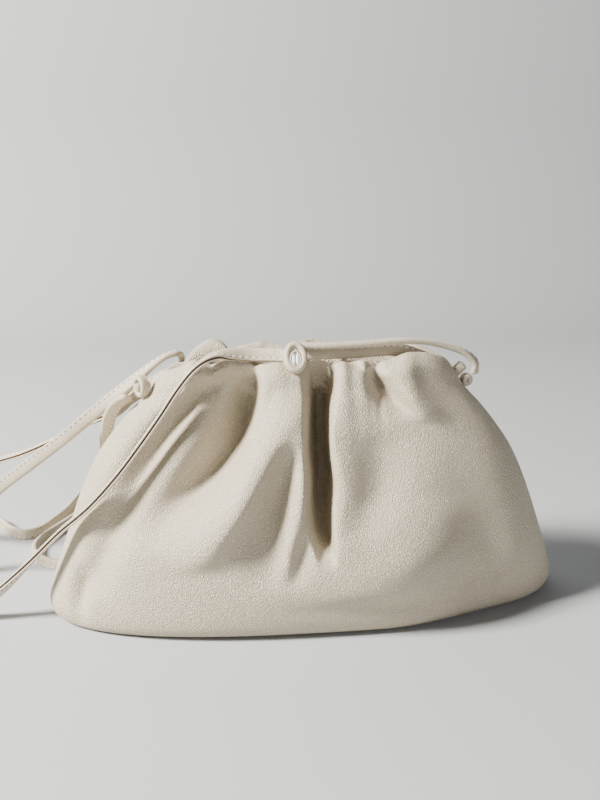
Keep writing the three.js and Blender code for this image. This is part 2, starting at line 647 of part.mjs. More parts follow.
// Right end of the mouth: a leather tab, with the strap's small knot hanging under its end
const tabStart = endReach(0) + SEAT_GAP;
const tabLow = pouchPoint(endSection, 0).z;
const tab = addMesh(
  bag,
  "side_loop_right",
  new THREE.BoxGeometry(TAB_LONG, TAB_DEEP, TAB_TALL),
  LEATHER,
);
tab.position.set(tabStart + TAB_LONG / 2, 0, tabLow + TAB_TALL / 2);
const rightKnot = addMesh(
  bag,
  "strap_knot_right",
  new THREE.SphereGeometry(0.5, 12, 8),
  LEATHER,
);
rightKnot.geometry.scale(RIGHT_KNOT_WIDE, RIGHT_KNOT_WIDE, RIGHT_KNOT_TALL);
rightKnot.position.set(
  endReach(SEAT_GAP + RIGHT_KNOT_TALL) + RIGHT_KNOT_WIDE / 4 + SEAT_GAP,
  0,
  tabLow - SEAT_GAP - RIGHT_KNOT_TALL / 2,
);

// Middle knot: the strap's loop hangs over the front rim, with the strap's cut end in its hole.
// The lowest stretch of its band lies on the rim.
const knotSeat = pouchPoint(sectionAtStep(KNOT_STEP), KNOT_ANGLE);
const knotPlace = new THREE.Group();
knotPlace.rotation.x = -KNOT_LEAN;
knotPlace.position
  .set(0, -KNOT_BAND / 2 - 2 * SEAT_GAP, (KNOT_TALL - KNOT_BAND) / 2)
  .applyEuler(knotPlace.rotation)
  .add(knotSeat);
bag.add(knotPlace);
addMesh(knotPlace, "centre_knot", makeOvalBand(KNOT_WIDE, KNOT_TALL, KNOT_BAND), LEATHER);
const strapEnd = addMesh(
  knotPlace,
  "strap_end",
  new THREE.CylinderGeometry(0.5, 0.5, STRAP_THICK, 12),
  CUT_LEATHER,
);
strapEnd.geometry.scale(
  KNOT_WIDE - 2 * KNOT_BAND - 2 * SEAT_GAP,
  1,
  KNOT_TALL - 2 * KNOT_BAND - 4 * SEAT_GAP,
);

addMesh(bag, "long_strap", makeStrap(LONG_STRAP), LEATHER);
addMesh(bag, "upper_strap", makeStrap(UPPER_STRAP), LEATHER);
addMesh(bag, "lower_strap", makeStrap(LOWER_STRAP), LEATHER);

export default bag;
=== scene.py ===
"""Cream leather pouch bag with a gathered mouth and a long thin strap, dressed around its solids."""

import math

import bpy
import numpy as np
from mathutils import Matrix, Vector


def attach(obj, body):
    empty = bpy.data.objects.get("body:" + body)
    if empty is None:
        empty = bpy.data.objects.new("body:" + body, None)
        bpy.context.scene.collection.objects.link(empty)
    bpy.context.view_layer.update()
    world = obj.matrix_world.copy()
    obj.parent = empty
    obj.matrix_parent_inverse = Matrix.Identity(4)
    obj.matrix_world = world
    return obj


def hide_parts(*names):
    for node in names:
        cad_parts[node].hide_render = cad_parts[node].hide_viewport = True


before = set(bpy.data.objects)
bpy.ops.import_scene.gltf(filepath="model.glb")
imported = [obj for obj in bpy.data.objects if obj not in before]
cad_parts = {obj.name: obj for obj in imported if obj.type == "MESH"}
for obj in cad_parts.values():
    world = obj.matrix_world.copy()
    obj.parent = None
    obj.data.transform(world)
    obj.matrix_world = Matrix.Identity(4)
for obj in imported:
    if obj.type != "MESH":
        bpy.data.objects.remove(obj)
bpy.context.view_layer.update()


# Camera, floor and lamps
# The camera stands in front of the bag, a little to its left and well above it. The floor is
# one pale painted board that turns up into a wall far behind, lit softly from the upper left.
CAMERA_PLACE = (-0.0419, -0.3697, 0.194)
CAMERA_DIP = math.radians(15.52)
CAMERA_TURN = math.radians(-6)
CAMERA_LENS = 40.5
SENSOR_WIDE = 36
NEAREST_SEEN = 0.01
BOARD_HALF = 3.0
BEND_START = 0.55
BEND_RADIUS = 0.25
BOARD_TALL = 2.5
BEND_STEPS = 16
# name: place, size, watts, colour
LAMPS = {
    "window": ((-1.06, -0.27, 0.9), 0.28, 84, "fffcf6"),
    "front fill": ((0.9, -1.35, 0.5), 1.2, 8.5, "f4f6ff"),
    "ceiling": ((-0.2, 0.2, 1.6), 1.0, 0.5, "ffffff"),
}
LAMPS_LOOK_AT = Vector((0, 0, 0.05))
ROOM_COLOUR = "e6e9ee"
ROOM_STRENGTH = 0.015


def linear(colour):
    """A colour given as an sRGB hex value, as linear red, green, blue and alpha."""
    parts = [int(colour[i : i + 2], 16) / 255 for i in (0, 2, 4)]
    return [p / 12.92 if p <= 0.04045 else ((p + 0.055) / 1.055) ** 2.4 for p in parts] + [1]


def add_node(tree, kind, inputs=None, **settings):
    """A node with its settings, and its inputs set to values or joined to other sockets."""
    node = tree.nodes.new(kind)
    for name, value in settings.items():
        setattr(node, name, value)
    for key, value in (inputs or {}).items():
        if isinstance(value, bpy.types.NodeSocket):
            tree.links.new(value, node.inputs[key])
        else:
            node.inputs[key].default_value = value
    return node


def new_material(name, colour, roughness):
    """A material of one colour, with its node tree and shader, ready for its grain."""
    material = bpy.data.materials.new(name)
    material.use_nodes = True
    tree = material.node_tree
    tree.nodes.clear()
    shader = add_node(
        tree, "ShaderNodeBsdfPrincipled", {"Base Color": linear(colour), "Roughness": roughness}
    )
    add_node(tree, "ShaderNodeOutputMaterial", {"Surface": shader.outputs["BSDF"]})
    return material, tree, shader


def add_mesh(name, points, faces, materials, looks=None):
    """A smooth mesh object from points and faces, with a material number for each face."""
    mesh = bpy.data.meshes.new(name)
    mesh.from_pydata(np.asarray(points).tolist(), [], faces)
    for material in materials:
        mesh.materials.append(material)
    if looks is not None:
        mesh.polygons.foreach_set("material_index", np.asarray(looks, np.int32))
    mesh.polygons.foreach_set("use_smooth", np.full(len(mesh.polygons), True))
    mesh.update()
    piece = bpy.data.objects.new(name, mesh)
    bpy.context.scene.collection.objects.link(piece)
    return piece


lens = bpy.data.cameras.new("camera")
lens.lens = CAMERA_LENS
lens.sensor_width = SENSOR_WIDE
lens.clip_start = NEAREST_SEEN
camera = bpy.data.objects.new("camera", lens)
camera.location = CAMERA_PLACE
camera.rotation_euler = (math.pi / 2 - CAMERA_DIP, 0, CAMERA_TURN)
bpy.context.scene.collection.objects.link(camera)
bpy.context.scene.camera = camera

# Painted board, matt pale grey: an even ground that takes a soft shadow
board_paint, _, _ = new_material("painted board, matt pale grey", "b3b5b6", 0.75)
turns = np.linspace(0, math.pi / 2, BEND_STEPS + 1)
profile = [(-BOARD_HALF, 0.0)]
profile += [
    (BEND_START + BEND_RADIUS * math.sin(a), BEND_RADIUS * (1 - math.cos(a))) for a in turns
]
profile += [(BEND_START + BEND_RADIUS, BOARD_TALL)]
board = add_mesh(
    "board",
    [(x, y, z) for y, z in profile for x in (-BOARD_HALF, BOARD_HALF)],
    [(2 * i, 2 * i + 1, 2 * i + 3, 2 * i + 2) for i in range(len(profile) - 1)],
    [board_paint],
)

for name, (place, size, watts, colour) in LAMPS.items():
    lamp = bpy.data.lights.new(name, "AREA")
    lamp.size = size
    lamp.energy = watts
    lamp.color = linear(colour)[:3]
    holder = bpy.data.objects.new(name, lamp)
    holder.location = place
    holder.rotation_euler = (LAMPS_LOOK_AT - Vector(place)).to_track_quat("-Z", "Y").to_euler()
    bpy.context.scene.collection.objects.link(holder)
room = bpy.data.worlds.new("room light")
room.use_nodes = True
background = room.node_tree.nodes["Background"]
background.inputs["Color"].default_value = linear(ROOM_COLOUR)
background.inputs["Strength"].default_value = ROOM_STRENGTH
bpy.context.scene.world = room


# Long strap
# A strip of cream calf folded over along its length and sewn near its open edge, so one edge is
# round and the other shows its two plies. One end goes into the middle knot, the other is the
# ring at the left end of the mouth; between them it lies loose over the bag and the table.
STRAP_WIDE = 0.0055
STRAP_THICK = 0.0026
STRAP_STEP = 0.0008
STITCH_PITCH = 0.0028
STITCH_LONG = 0.0019
THREAD = 0.0006
# How many steps of the line stay unsewn at each end
UNSEWN_STEPS = 6
# x, y, z of the strap's middle, then the way that its broad face looks
LONG_ROUTE = [
    (-0.0069, -0.0096, 0.1123, 0, -0.93, 0.36),
    (-0.014, -0.0068, 0.1124, 0, -0.93, 0.36),
    (-0.024, -0.0052, 0.1124, 0, -0.9, 0.43),
    (-0.033, -0.0072, 0.1132, -0.05, -0.72, 0.7),
    (-0.04, -0.011, 0.113, -0.33, -0.12, 0.94),
    (-0.0468, -0.0144, 0.1092, -0.64, 0.16, 0.75),
    (-0.054, -0.0157, 0.1011, -0.79, 0.13, 0.6),
    (-0.061, -0.0177, 0.0912, -0.81, 0.12, 0.57),
    (-0.0699, -0.02, 0.0793, -0.8, 0.13, 0.59),
    (-0.0796, -0.0209, 0.0669, -0.76, 0.15, 0.63),
    (-0.0911, -0.0204, 0.0541, -0.68, 0.19, 0.71),
    (-0.1042, -0.0159, 0.0418, -0.66, 0.22, 0.71),
    (-0.1186, -0.0135, 0.0272, -0.66, 0.25, 0.7),
    (-0.1323, -0.0122, 0.0136, -0.55, 0.62, 0.55),
    (-0.143, -0.0108, 0.0058, -0.4, 0.5, 0.77),
    (-0.154, -0.008, 0.0035, -0.25, 0.75, 0.6),
    (-0.164, -0.0035, 0.0031, -0.4, 0.9, 0.15),
    (-0.172, 0.0035, 0.0029, -0.75, 0.65, 0),
    (-0.1765, 0.0125, 0.0029, -0.98, 0.2, 0),
    (-0.1763, 0.0225, 0.0046, -0.97, -0.25, 0.1),
    (-0.171, 0.0293, 0.011, -0.6, -0.7, 0.35),
    (-0.162, 0.0308, 0.0215, -0.2, -0.9, 0.35),
    (-0.15, 0.027, 0.0348, 0.05, -0.95, 0.3),
    (-0.1364, 0.022, 0.0479, 0.1, -0.95, 0.28),
    (-0.121, 0.0155, 0.0606, 0.1, -0.95, 0.28),
    (-0.1048, 0.011, 0.0736, 0.1, -0.95, 0.28),
    (-0.0933, 0.0115, 0.0828, 0.1, -0.95, 0.28),
    (-0.0834, 0.0095, 0.091, -0.1, -0.88, 0.46),
    (-0.0752, 0.0085, 0.0976, -0.3, -0.68, 0.66),
    (-0.0699, 0.008, 0.102, -0.45, -0.42, 0.78),
    (-0.0655, 0.0075, 0.1057, -0.55, -0.2, 0.8),
    (-0.0612, 0.0075, 0.1087, -0.5, 0, 0.86),
    (-0.0578, 0.008, 0.1102, -0.3, 0.05, 0.95),
    (-0.0549, 0.009, 0.1106, 0.1, 0.05, 0.99),
    (-0.0536, 0.0112, 0.1091, 0.75, 0.05, 0.65),
    (-0.0534, 0.0136, 0.1062, 0.95, 0.1, -0.2),
    (-0.0547, 0.0156, 0.1033, 0.7, 0.15, -0.7),
    (-0.0571, 0.0162, 0.1012, 0.5, 0.3, -0.8),
    (-0.0607, 0.016, 0.0991, 0.45, 0.6, -0.65),
    (-0.0651, 0.0162, 0.0963, 0.3, 0.85, -0.4),
    (-0.0709, 0.0166, 0.0922, 0.1, 0.95, 0.1),
    (-0.0766, 0.017, 0.0884, -0.1, 0.85, 0.5),
    (-0.083, 0.0172, 0.0824, -0.15, 0.55, 0.82),
    (-0.09, 0.0186, 0.0796, -0.2, 0.3, 0.93),
    (-0.0978, 0.021, 0.0762, -0.3, 0.2, 0.93),
    (-0.1068, 0.025, 0.0706, -0.35, 0.2, 0.91),
    (-0.1184, 0.032, 0.0636, -0.35, 0.15, 0.92),
    (-0.1296, 0.0385, 0.0578, -0.35, 0.1, 0.93),
    (-0.1408, 0.045, 0.053, -0.33, 0, 0.94),
    (-0.152, 0.0495, 0.047, -0.35, -0.1, 0.93),
    (-0.164, 0.055, 0.039, -0.5, -0.3, 0.8),
    (-0.174, 0.063, 0.0285, -0.65, -0.35, 0.64),
    (-0.18, 0.073, 0.0175, -0.85, -0.2, 0.45),
    (-0.1815, 0.084, 0.0085, -0.98, -0.05, 0.2),
    (-0.178, 0.094, 0.0037, -0.9, 0.42, 0.05),
    (-0.17, 0.0985, 0.0029, -0.1, 0.99, 0),
    (-0.1615, 0.0965, 0.0029, 0.45, 0.88, 0),
    (-0.1546, 0.0906, 0.0029, 0.7, 0.7, 0),
    (-0.147, 0.0788, 0.0029, 0.75, 0.62, 0),
    (-0.1385, 0.072, 0.0029, 0.1, 0.98, 0),
    (-0.131, 0.0765, 0.0029, -0.7, 0.7, 0),
    (-0.1258, 0.088, 0.0029, -0.9, 0.4, 0),
    (-0.121, 0.102, 0.0029, -0.95, 0.3, 0),
    (-0.1186, 0.114, 0.0029, -0.99, 0.15, 0),
    (-0.1164, 0.1235, 0.0029, -0.85, 0.5, 0),
    (-0.1115, 0.1275, 0.0029, -0.1, 0.98, 0),
    (-0.107, 0.1235, 0.0029, 0.95, 0.3, 0),
    (-0.1076, 0.114, 0.0029, 0.95, -0.25, 0),
    (-0.112, 0.101, 0.0029, 0.93, -0.36, 0),
    (-0.118, 0.087, 0.0029, 0.92, -0.38, 0),
    (-0.124, 0.075, 0.0029, 0.92, -0.38, 0),
    (-0.1286, 0.0645, 0.0029, 0.95, -0.3, 0),
    (-0.1302, 0.054, 0.0029, 1, 0.05, 0),
    (-0.127, 0.0435, 0.0029, 0.85, 0.5, 0),
    (-0.1202, 0.0365, 0.0029, 0.5, 0.85, 0),
    (-0.1124, 0.0336, 0.0029, 0.2, 0.98, 0),
    (-0.105, 0.0342, 0.0046, -0.1, 0.99, 0),
    (-0.0996, 0.0336, 0.012, -0.05, 0.99, 0.1),
    (-0.0962, 0.0306, 0.024, 0, 0.97, 0.2),
    (-0.093, 0.0262, 0.038, 0, 0.95, 0.3),
    (-0.0898, 0.021, 0.052, 0, 0.95, 0.3),
    (-0.0882, 0.017, 0.066, -0.05, 0.94, 0.34),
    (-0.0862, 0.0108, 0.078, -0.15, 0.9, 0.4),
    (-0.0832, 0.0044, 0.0868, -0.2, 0.85, 0.45),
    (-0.0796, 0.0002, 0.092, -0.3, 0.8, 0.5),
    (-0.0754, -0.002, 0.0946, -0.45, 0.7, 0.55),
]
# The upper half of its section from the round edge to the bottom of the slit between the plies,
# as shares of half its width and of half its thickness. The dip at 0.56 is where the thread pulls.
STRAP_SECTION = [
    (-1.0, 0.0, "leather"),
    (-0.97, 0.38, "leather"),
    (-0.88, 0.7, "leather"),
    (-0.72, 0.92, "leather"),
    (-0.45, 1.0, "leather"),
    (-0.1, 1.0, "leather"),
    (0.22, 0.96, "leather"),
    (0.43, 0.88, "leather"),
    (0.56, 0.76, "leather"),
    (0.69, 0.84, "leather"),
    (0.85, 0.86, "leather"),
    (0.95, 0.8, "edge"),
    (1.0, 0.6, "edge"),
    (0.99, 0.34, "slit"),
    (0.9, 0.24, "slit"),
    (0.7, 0.12, "slit"),
]
SEAM_ACROSS = 0.56
SEAM_UP = 0.8


def smooth_through(knots, values, at, level_ends=False):
    """Values at places between rows, smooth by the slopes from each row's neighbours."""
    knots = np.asarray(knots, float)
    values = np.asarray(values, float)
    if knots[-1] < knots[0]:
        knots = knots[::-1]
        values = values[::-1]
    at = np.clip(at, knots[0], knots[-1])
    wide = values.ndim > 1
    spans = (knots[2:] - knots[:-2])[:, None] if wide else knots[2:] - knots[:-2]
    slopes = np.zeros_like(values)
    slopes[1:-1] = (values[2:] - values[:-2]) / spans
    if not level_ends:
        slopes[0] = (values[1] - values[0]) / (knots[1] - knots[0])
        slopes[-1] = (values[-1] - values[-2]) / (knots[-1] - knots[-2])
    i = np.clip(np.searchsorted(knots, at, side="right") - 1, 0, len(knots) - 2)
    span = knots[i + 1] - knots[i]
    s = (at - knots[i]) / span
    if wide:
        s = s[:, None]
        span = span[:, None]
    return (
        (2 * s**3 - 3 * s**2 + 1) * values[i]
        + (s**3 - 2 * s**2 + s) * span * slopes[i]
        + (3 * s**2 - 2 * s**3) * values[i + 1]
        + (s**3 - s**2) * span * slopes[i + 1]
    )


def unit(ways):
    """The same ways at a length of one."""
    return ways / np.linalg.norm(ways, axis=-1, keepdims=True)


def lay_route(rows, step=STRAP_STEP, closed=False):
    """Even steps along a route: places, ways along, sides towards the open edge, faces."""
    rows = np.array(rows, float)
    if closed:
        rows = np.vstack([rows[-3:], rows, rows[:3]])
    knots = np.append(0, np.cumsum(np.linalg.norm(np.diff(rows[:, :3], axis=0), axis=1)))
    first, last = (knots[3], knots[-3]) if closed else (0, knots[-1])
    # Four places to each step, so that the even steps are cut from a smooth line
    fine = smooth_through(knots, rows, np.linspace(first, last, int(4 * (last - first) / step)))
    reach = np.append(0, np.cumsum(np.linalg.norm(np.diff(fine[:, :3], axis=0), axis=1)))
    even = np.linspace(0, reach[-1], round(reach[-1] / step) + 1)
    at = np.stack([np.interp(even, reach, fine[:, k]) for k in range(6)], axis=1)
    if closed:
        along = unit(np.roll(at[:-1, :3], -1, 0) - np.roll(at[:-1, :3], 1, 0))
        at = at[:-1]
        even = even[:-1]
    else:
        along = unit(np.gradient(at[:, :3], axis=0))
    side = unit(np.cross(at[:, 3:], along))
    face = np.cross(along, side)
    return {"at": at[:, :3], "along": along, "side": side, "face": face, "reach": even}


def round_the_section(half):
    """A whole section from its upper half: across, up and the look of the face after each point."""
    lower = [(across, -up, look) for across, up, look in half[:0:-1]]
    looks = [look for _, _, look in half]
    return np.array([(across, up) for across, up, _ in half + lower]), looks + looks[-2::-1]


def sweep(name, line, section, looks, materials, wide, thick, closed=False):
    """A bar with one section carried along a line; wide and thick may change along it.

    The materials follow the order leather, edge, slit, and an open bar's end caps take the second.
    """
    count = len(section)
    rings = len(line["at"])
    across = section[:, 0] * np.broadcast_to(wide, rings)[:, None] / 2
    up = section[:, 1] * np.broadcast_to(thick, rings)[:, None] / 2
    points = (
        line["at"][:, None]
        + line["side"][:, None] * across[:, :, None]
        + line["face"][:, None] * up[:, :, None]
    ).reshape(-1, 3)
    ring = np.arange(rings if closed else rings - 1)[:, None]
    k = np.arange(count)[None]
    following = (ring + 1) % rings
    around = (k + 1) % count
    corners = (
        ring * count + k,
        following * count + k,
        following * count + around,
        ring * count + around,
    )
    faces = np.stack(corners, axis=-1).reshape(-1, 4).tolist()
    slots = np.tile([("leather", "edge", "slit").index(look) for look in looks], len(ring))
    if not closed:
        faces += [list(range(count)), list(range(rings * count - 1, (rings - 1) * count - 1, -1))]
        slots = np.append(slots, [min(1, len(materials) - 1)] * 2)
    return add_mesh(name, points, faces, materials, slots)


# Drifts of tone in hand-dyed leather, about 28 mm across, as a count to the metre
DRIFTS = 36


def add_grain(tree, shader, colour, crease_shade, pebble, depth, along=(1, 1, 1)):
    """Leather grain: domes of the pebble's size with creases between them painted darker as shade, and
    drifts of tone.
    """
    place = add_node(tree, "ShaderNodeTexCoord").outputs["Object"]
    laid = add_node(tree, "ShaderNodeMapping", {"Vector": place, "Scale": along}).outputs["Vector"]
    sway = add_node(tree, "ShaderNodeTexNoise", {"Vector": laid, "Scale": 0.4 / pebble, "Detail": 2})
    pushed = add_node(
        tree,
        "ShaderNodeVectorMath",
        {0: sway.outputs["Color"], 1: (pebble * 1.2,) * 3, 2: laid},
        operation="MULTIPLY_ADD",
    )
    cells = add_node(
        tree,
        "ShaderNodeTexVoronoi",
        {"Vector": pushed.outputs["Vector"], "Scale": 1 / pebble, "Randomness": 0.95},
        feature="DISTANCE_TO_EDGE",
    )
    dome = add_node(
        tree,
        "ShaderNodeMapRange",
        {"Value": cells.outputs["Distance"], "From Min": 0.0, "From Max": 0.33},
        interpolation_type="SMOOTHSTEP",
    ).outputs["Result"]
    pores = add_node(
        tree,
        "ShaderNodeTexNoise",
        {"Vector": laid, "Scale": 2.6 / pebble, "Detail": 3, "Roughness": 0.6},
    )
    height = add_node(
        tree, "ShaderNodeMath", {0: pores.outputs["Fac"], 1: 0.5, 2: dome}, operation="MULTIPLY_ADD"
    ).outputs["Value"]
    drifts = add_node(
        tree, "ShaderNodeTexNoise", {"Vector": place, "Scale": DRIFTS, "Detail": 3}
    ).outputs["Fac"]
    strength = add_node(
        tree,
        "ShaderNodeMapRange",
        {"Value": drifts, "From Min": 0.3, "From Max": 0.7, "To Min": 0.75, "To Max": 1.0},
    )
    bump = add_node(
        tree,
        "ShaderNodeBump",
        {"Strength": strength.outputs["Result"], "Distance": depth, "Height": height},
    )
    tree.links.new(bump.outputs["Normal"], shader.inputs["Normal"])
    # Painted shade: the creases between the domes take the darker crease colour
    tone = add_node(
        tree, "ShaderNodeMix", {0: dome, 6: linear(crease_shade), 7: linear(colour)}, data_type="RGBA"
    ).outputs[2]
    light = add_node(
        tree,
        "ShaderNodeMapRange",
        {"Value": drifts, "From Min": 0.25, "From Max": 0.75, "To Min": 0.95, "To Max": 1.03},
    )
    shade = add_node(
        tree, "ShaderNodeVectorMath", {0: tone, "Scale": light.outputs["Result"]}, operation="SCALE"
    )
    tree.links.new(shade.outputs["Vector"], shader.inputs["Base Color"])
    rough = shader.inputs["Roughness"].default_value
    polish = add_node(
        tree,
        "ShaderNodeMapRange",
        {"Value": height, "From Min": 0.1, "From Max": 1.3, "To Min": rough + 0.12, "To Max": rough - 0.06},
    )
    tree.links.new(polish.outputs["Result"], shader.inputs["Roughness"])


def add_ripples(tree, shader, to_the_metre, detail, strength, depth):
    """A fine uneven relief, given as a count of ripples to the metre and a depth."""
    place = add_node(tree, "ShaderNodeTexCoord").outputs["Object"]
    ripples = add_node(
        tree, "ShaderNodeTexNoise", {"Vector": place, "Scale": to_the_metre, "Detail": detail}
    )
    bump = add_node(
        tree,
        "ShaderNodeBump",
        {"Strength": strength, "Distance": depth, "Height": ripples.outputs["Fac"]},
    )
    tree.links.new(bump.outputs["Normal"], shader.inputs["Normal"])


# Calf leather, fine grained and half matt: a tight grain that just breaks the strap's highlight
STRAP_COLOUR = "d4c9b5"
# The crease colour is painted shade, laid darker into the grain's creases
STRAP_CREASE_SHADE = "b5a890"
STRAP_PEBBLE = 0.0007
STRAP_PEBBLE_DEPTH = 0.00007
strap_leather, tree, shader = new_material("calf leather, fine grained cream", STRAP_COLOUR, 0.48)
add_grain(tree, shader, STRAP_COLOUR, STRAP_CREASE_SHADE, STRAP_PEBBLE, STRAP_PEBBLE_DEPTH)
# Edge paint, satin: smooth and a little shinier, it draws a clean light line along each ply.
# Its coats leave ripples of about 1.4 mm.
edge_paint, tree, shader = new_material("edge paint, cream satin", "d2c6b1", 0.36)
add_ripples(tree, shader, 700, 2, 0.5, 0.00006)
# Painted shade between the plies, dull brown: the slit's faces are coloured dark for the shade in the
# narrow gap, mottled at about 0.7 mm
slit_painted_shade, tree, shader = new_material("painted shade between the plies, dull brown", "6b5642", 0.85)
slit_shade_mottle = add_node(tree, "ShaderNodeTexCoord").outputs["Object"]
slit_shade_mottle = add_node(tree, "ShaderNodeTexNoise", {"Vector": slit_shade_mottle, "Scale": 1500, "Detail": 3})
slit_shade_mottle = add_node(
    tree,
    "ShaderNodeMix",
    {0: slit_shade_mottle.outputs["Fac"], 6: linear("54422f"), 7: linear("88715a")},
    data_type="RGBA",
)
tree.links.new(slit_shade_mottle.outputs[2], shader.inputs["Base Color"])
strap_looks = [strap_leather, edge_paint, slit_painted_shade]
# Polyester thread, twisted cream: rounder and lighter than the leather, so each stitch reads.
# Its plies twist once in about 0.3 mm.
thread, tree, shader = new_material("polyester thread, twisted cream", "e6dfd2", 0.5)
add_ripples(tree, shader, 3300, 1, 0.6, 0.00006)
# Painted shade of a needle hole, dull brown: the dark dot between two stitches stands in for the shade
# inside the hole
needle_hole_shade, tree, shader = new_material("painted shade of a needle hole, dull brown", "8b7b66", 0.9)


def sewing(pitch, length, thick):
    """Stitches with dark dots of painted shade for the needle holes between them, at even steps along a
    line of edges.
    """
    tree = bpy.data.node_groups.new("stitches along a seam", "GeometryNodeTree")
    tree.interface.new_socket("Seam", in_out="INPUT", socket_type="NodeSocketGeometry")
    for name, value in (("Pitch", pitch), ("Stitch length", length), ("Thread thickness", thick)):
        socket = tree.interface.new_socket(name, in_out="INPUT", socket_type="NodeSocketFloat")
        socket.default_value = value
    tree.interface.new_socket("Stitches", in_out="OUTPUT", socket_type="NodeSocketGeometry")
    given = add_node(tree, "NodeGroupInput").outputs
    curve = add_node(tree, "GeometryNodeMeshToCurve", {"Mesh": given["Seam"]}).outputs["Curve"]
    marks = add_node(
        tree, "GeometryNodeResampleCurve", {"Curve": curve, "Length": given["Pitch"]}, mode="LENGTH"
    ).outputs["Curve"]
    outward = add_node(
        tree, "GeometryNodeInputNamedAttribute", {"Name": "outward"}, data_type="FLOAT_VECTOR"
    ).outputs["Attribute"]
    ahead = add_node(tree, "GeometryNodeInputTangent").outputs["Tangent"]
    turn = add_node(
        tree,
        "FunctionNodeAxesToRotation",
        {"Primary Axis": outward, "Secondary Axis": ahead},
        primary_axis="Z",
        secondary_axis="X",
    ).outputs["Rotation"]
    half_pitch, flat, hole, gap = (
        add_node(tree, "ShaderNodeMath", {0: given[size], 1: other}, operation=what).outputs[0]
        for size, other, what in (
            ("Pitch", 0.5, "MULTIPLY"),
            ("Thread thickness", 0.8, "MULTIPLY"),
            ("Thread thickness", 0.6, "MULTIPLY"),
            ("Pitch", given["Stitch length"], "SUBTRACT"),
        )
    )
    shapes = (
        (given["Stitch length"], given["Thread thickness"], flat, 0.0, thread),
        (gap, hole, hole, half_pitch, needle_hole_shade),
    )
    sewn = add_node(tree, "GeometryNodeJoinGeometry")
    for long, wide, tall, ahead_by, material in shapes:
        size = add_node(tree, "ShaderNodeCombineXYZ", {"X": long, "Y": wide, "Z": tall}).outputs["Vector"]
        shift = add_node(tree, "ShaderNodeCombineXYZ", {"X": ahead_by}).outputs["Vector"]
        ball = add_node(
            tree, "GeometryNodeMeshUVSphere", {"Segments": 8, "Rings": 6, "Radius": 0.5}
        ).outputs["Mesh"]
        shape = add_node(
            tree, "GeometryNodeTransform", {"Geometry": ball, "Translation": shift, "Scale": size}
        ).outputs["Geometry"]
        row = add_node(
            tree,
            "GeometryNodeInstanceOnPoints",
            {"Points": marks, "Instance": shape, "Rotation": turn},
        ).outputs["Instances"]
        solid = add_node(tree, "GeometryNodeRealizeInstances", {"Geometry": row}).outputs["Geometry"]
        dressed = add_node(
            tree, "GeometryNodeSetMaterial", {"Geometry": solid, "Material": material}
        ).outputs["Geometry"]
        tree.links.new(dressed, sewn.inputs["Geometry"])
    add_node(tree, "NodeGroupOutput", {"Stitches": sewn.outputs["Geometry"]})
    return tree


sewing_tree = sewing(STITCH_PITCH, STITCH_LONG, THREAD)


def sew(name, line, unsewn):
    """Both rows of stitches of a strap, one on each broad face, as one plain mesh."""
    keep = slice(unsewn, -unsewn)
    across = line["side"][keep] * SEAM_ACROSS * STRAP_WIDE / 2
    up = line["face"][keep] * SEAM_UP * STRAP_THICK / 2
    seams = (line["at"][keep] + across + up, line["at"][keep] + across - up)
    count = len(across)
    edges = [(row * count + i, row * count + i + 1) for row in (0, 1) for i in range(count - 1)]
    mesh = bpy.data.meshes.new(name)
    mesh.from_pydata(np.vstack(seams).tolist(), edges, [])
    outward = mesh.attributes.new("outward", "FLOAT_VECTOR", "POINT")
    outward.data.foreach_set("vector", np.vstack([line["face"][keep], -line["face"][keep]]).ravel())
    seam = bpy.data.objects.new(name + "_seam", mesh)
    bpy.context.scene.collection.objects.link(seam)
    modifier = seam.modifiers.new("stitches", "NODES")
    modifier.node_group = sewing_tree
    sizes = {"Pitch": STITCH_PITCH, "Stitch length": STITCH_LONG, "Thread thickness": THREAD}
    for socket in sewing_tree.interface.items_tree:
        if socket.in_out == "INPUT" and socket.name in sizes:
            modifier[socket.identifier] = sizes[socket.name]
    sewn = seam.evaluated_get(bpy.context.evaluated_depsgraph_get())
    result = bpy.data.meshes.new_from_object(sewn)
    result.polygons.foreach_set("use_smooth", np.full(len(result.polygons), True))
    bpy.data.objects.remove(seam)
    stitches = bpy.data.objects.new(name, result)
    bpy.context.scene.collection.objects.link(stitches)
    return stitches


section, section_looks = round_the_section(STRAP_SECTION)
long_line = lay_route(LONG_ROUTE)
long_strap = sweep(
    "long_strap_leather", long_line, section, section_looks, strap_looks, STRAP_WIDE, STRAP_THICK
)
long_stitches = sew("long_strap_stitches", long_line, UNSEWN_STEPS)
for piece in (long_strap, long_stitches):
    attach(piece, "root")
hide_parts("long_strap")


# Two short straps
# The same folded strip to the right of the middle knot: one run lies over the rim and comes down
# to the small knot, the other lies in the gathers behind it and drops into the mouth.
UPPER_ROUTE = [
    (-0.0042, -0.00595, 0.1162, 0, 0.1, 0.99),
    (0.004, -0.0072, 0.1159, 0, 0.1, 0.99),
    (0.015, -0.0072, 0.1161, -0.03, 0.1, 0.99),
    (0.027, -0.0068, 0.1165, -0.03, 0.1, 0.99),
    (0.039, -0.0054, 0.1168, 0, 0.1, 0.99),
    (0.0505, -0.0032, 0.1157, 0.2, 0.1, 0.97),
    (0.061, -0.0016, 0.113, 0.45, 0, 0.89),
    (0.0686, -0.001, 0.1098, 0.7, -0.15, 0.7),
    (0.073, -0.0008, 0.1052, 0.85, -0.45, 0.25),
    (0.0728, -0.0006, 0.1009, 0.8, -0.6, 0),
]
LOWER_ROUTE = [
    (-0.0048, -0.0038, 0.1119, 0, -0.93, 0.36),
    (0.006, -0.0034, 0.112, 0, -0.93, 0.36),
    (0.02, -0.0032, 0.1121, 0, -0.93, 0.36),
    (0.034, -0.0024, 0.1126, 0, -0.93, 0.36),
    (0.0415, -0.0012, 0.1116, 0, -0.97, 0.2),
    (0.047, -0.0003, 0.1096, 0, -1, 0.1),
    (0.052, 0, 0.1076, 0, -1, 0),
]
UNSEWN_SHORT = 3
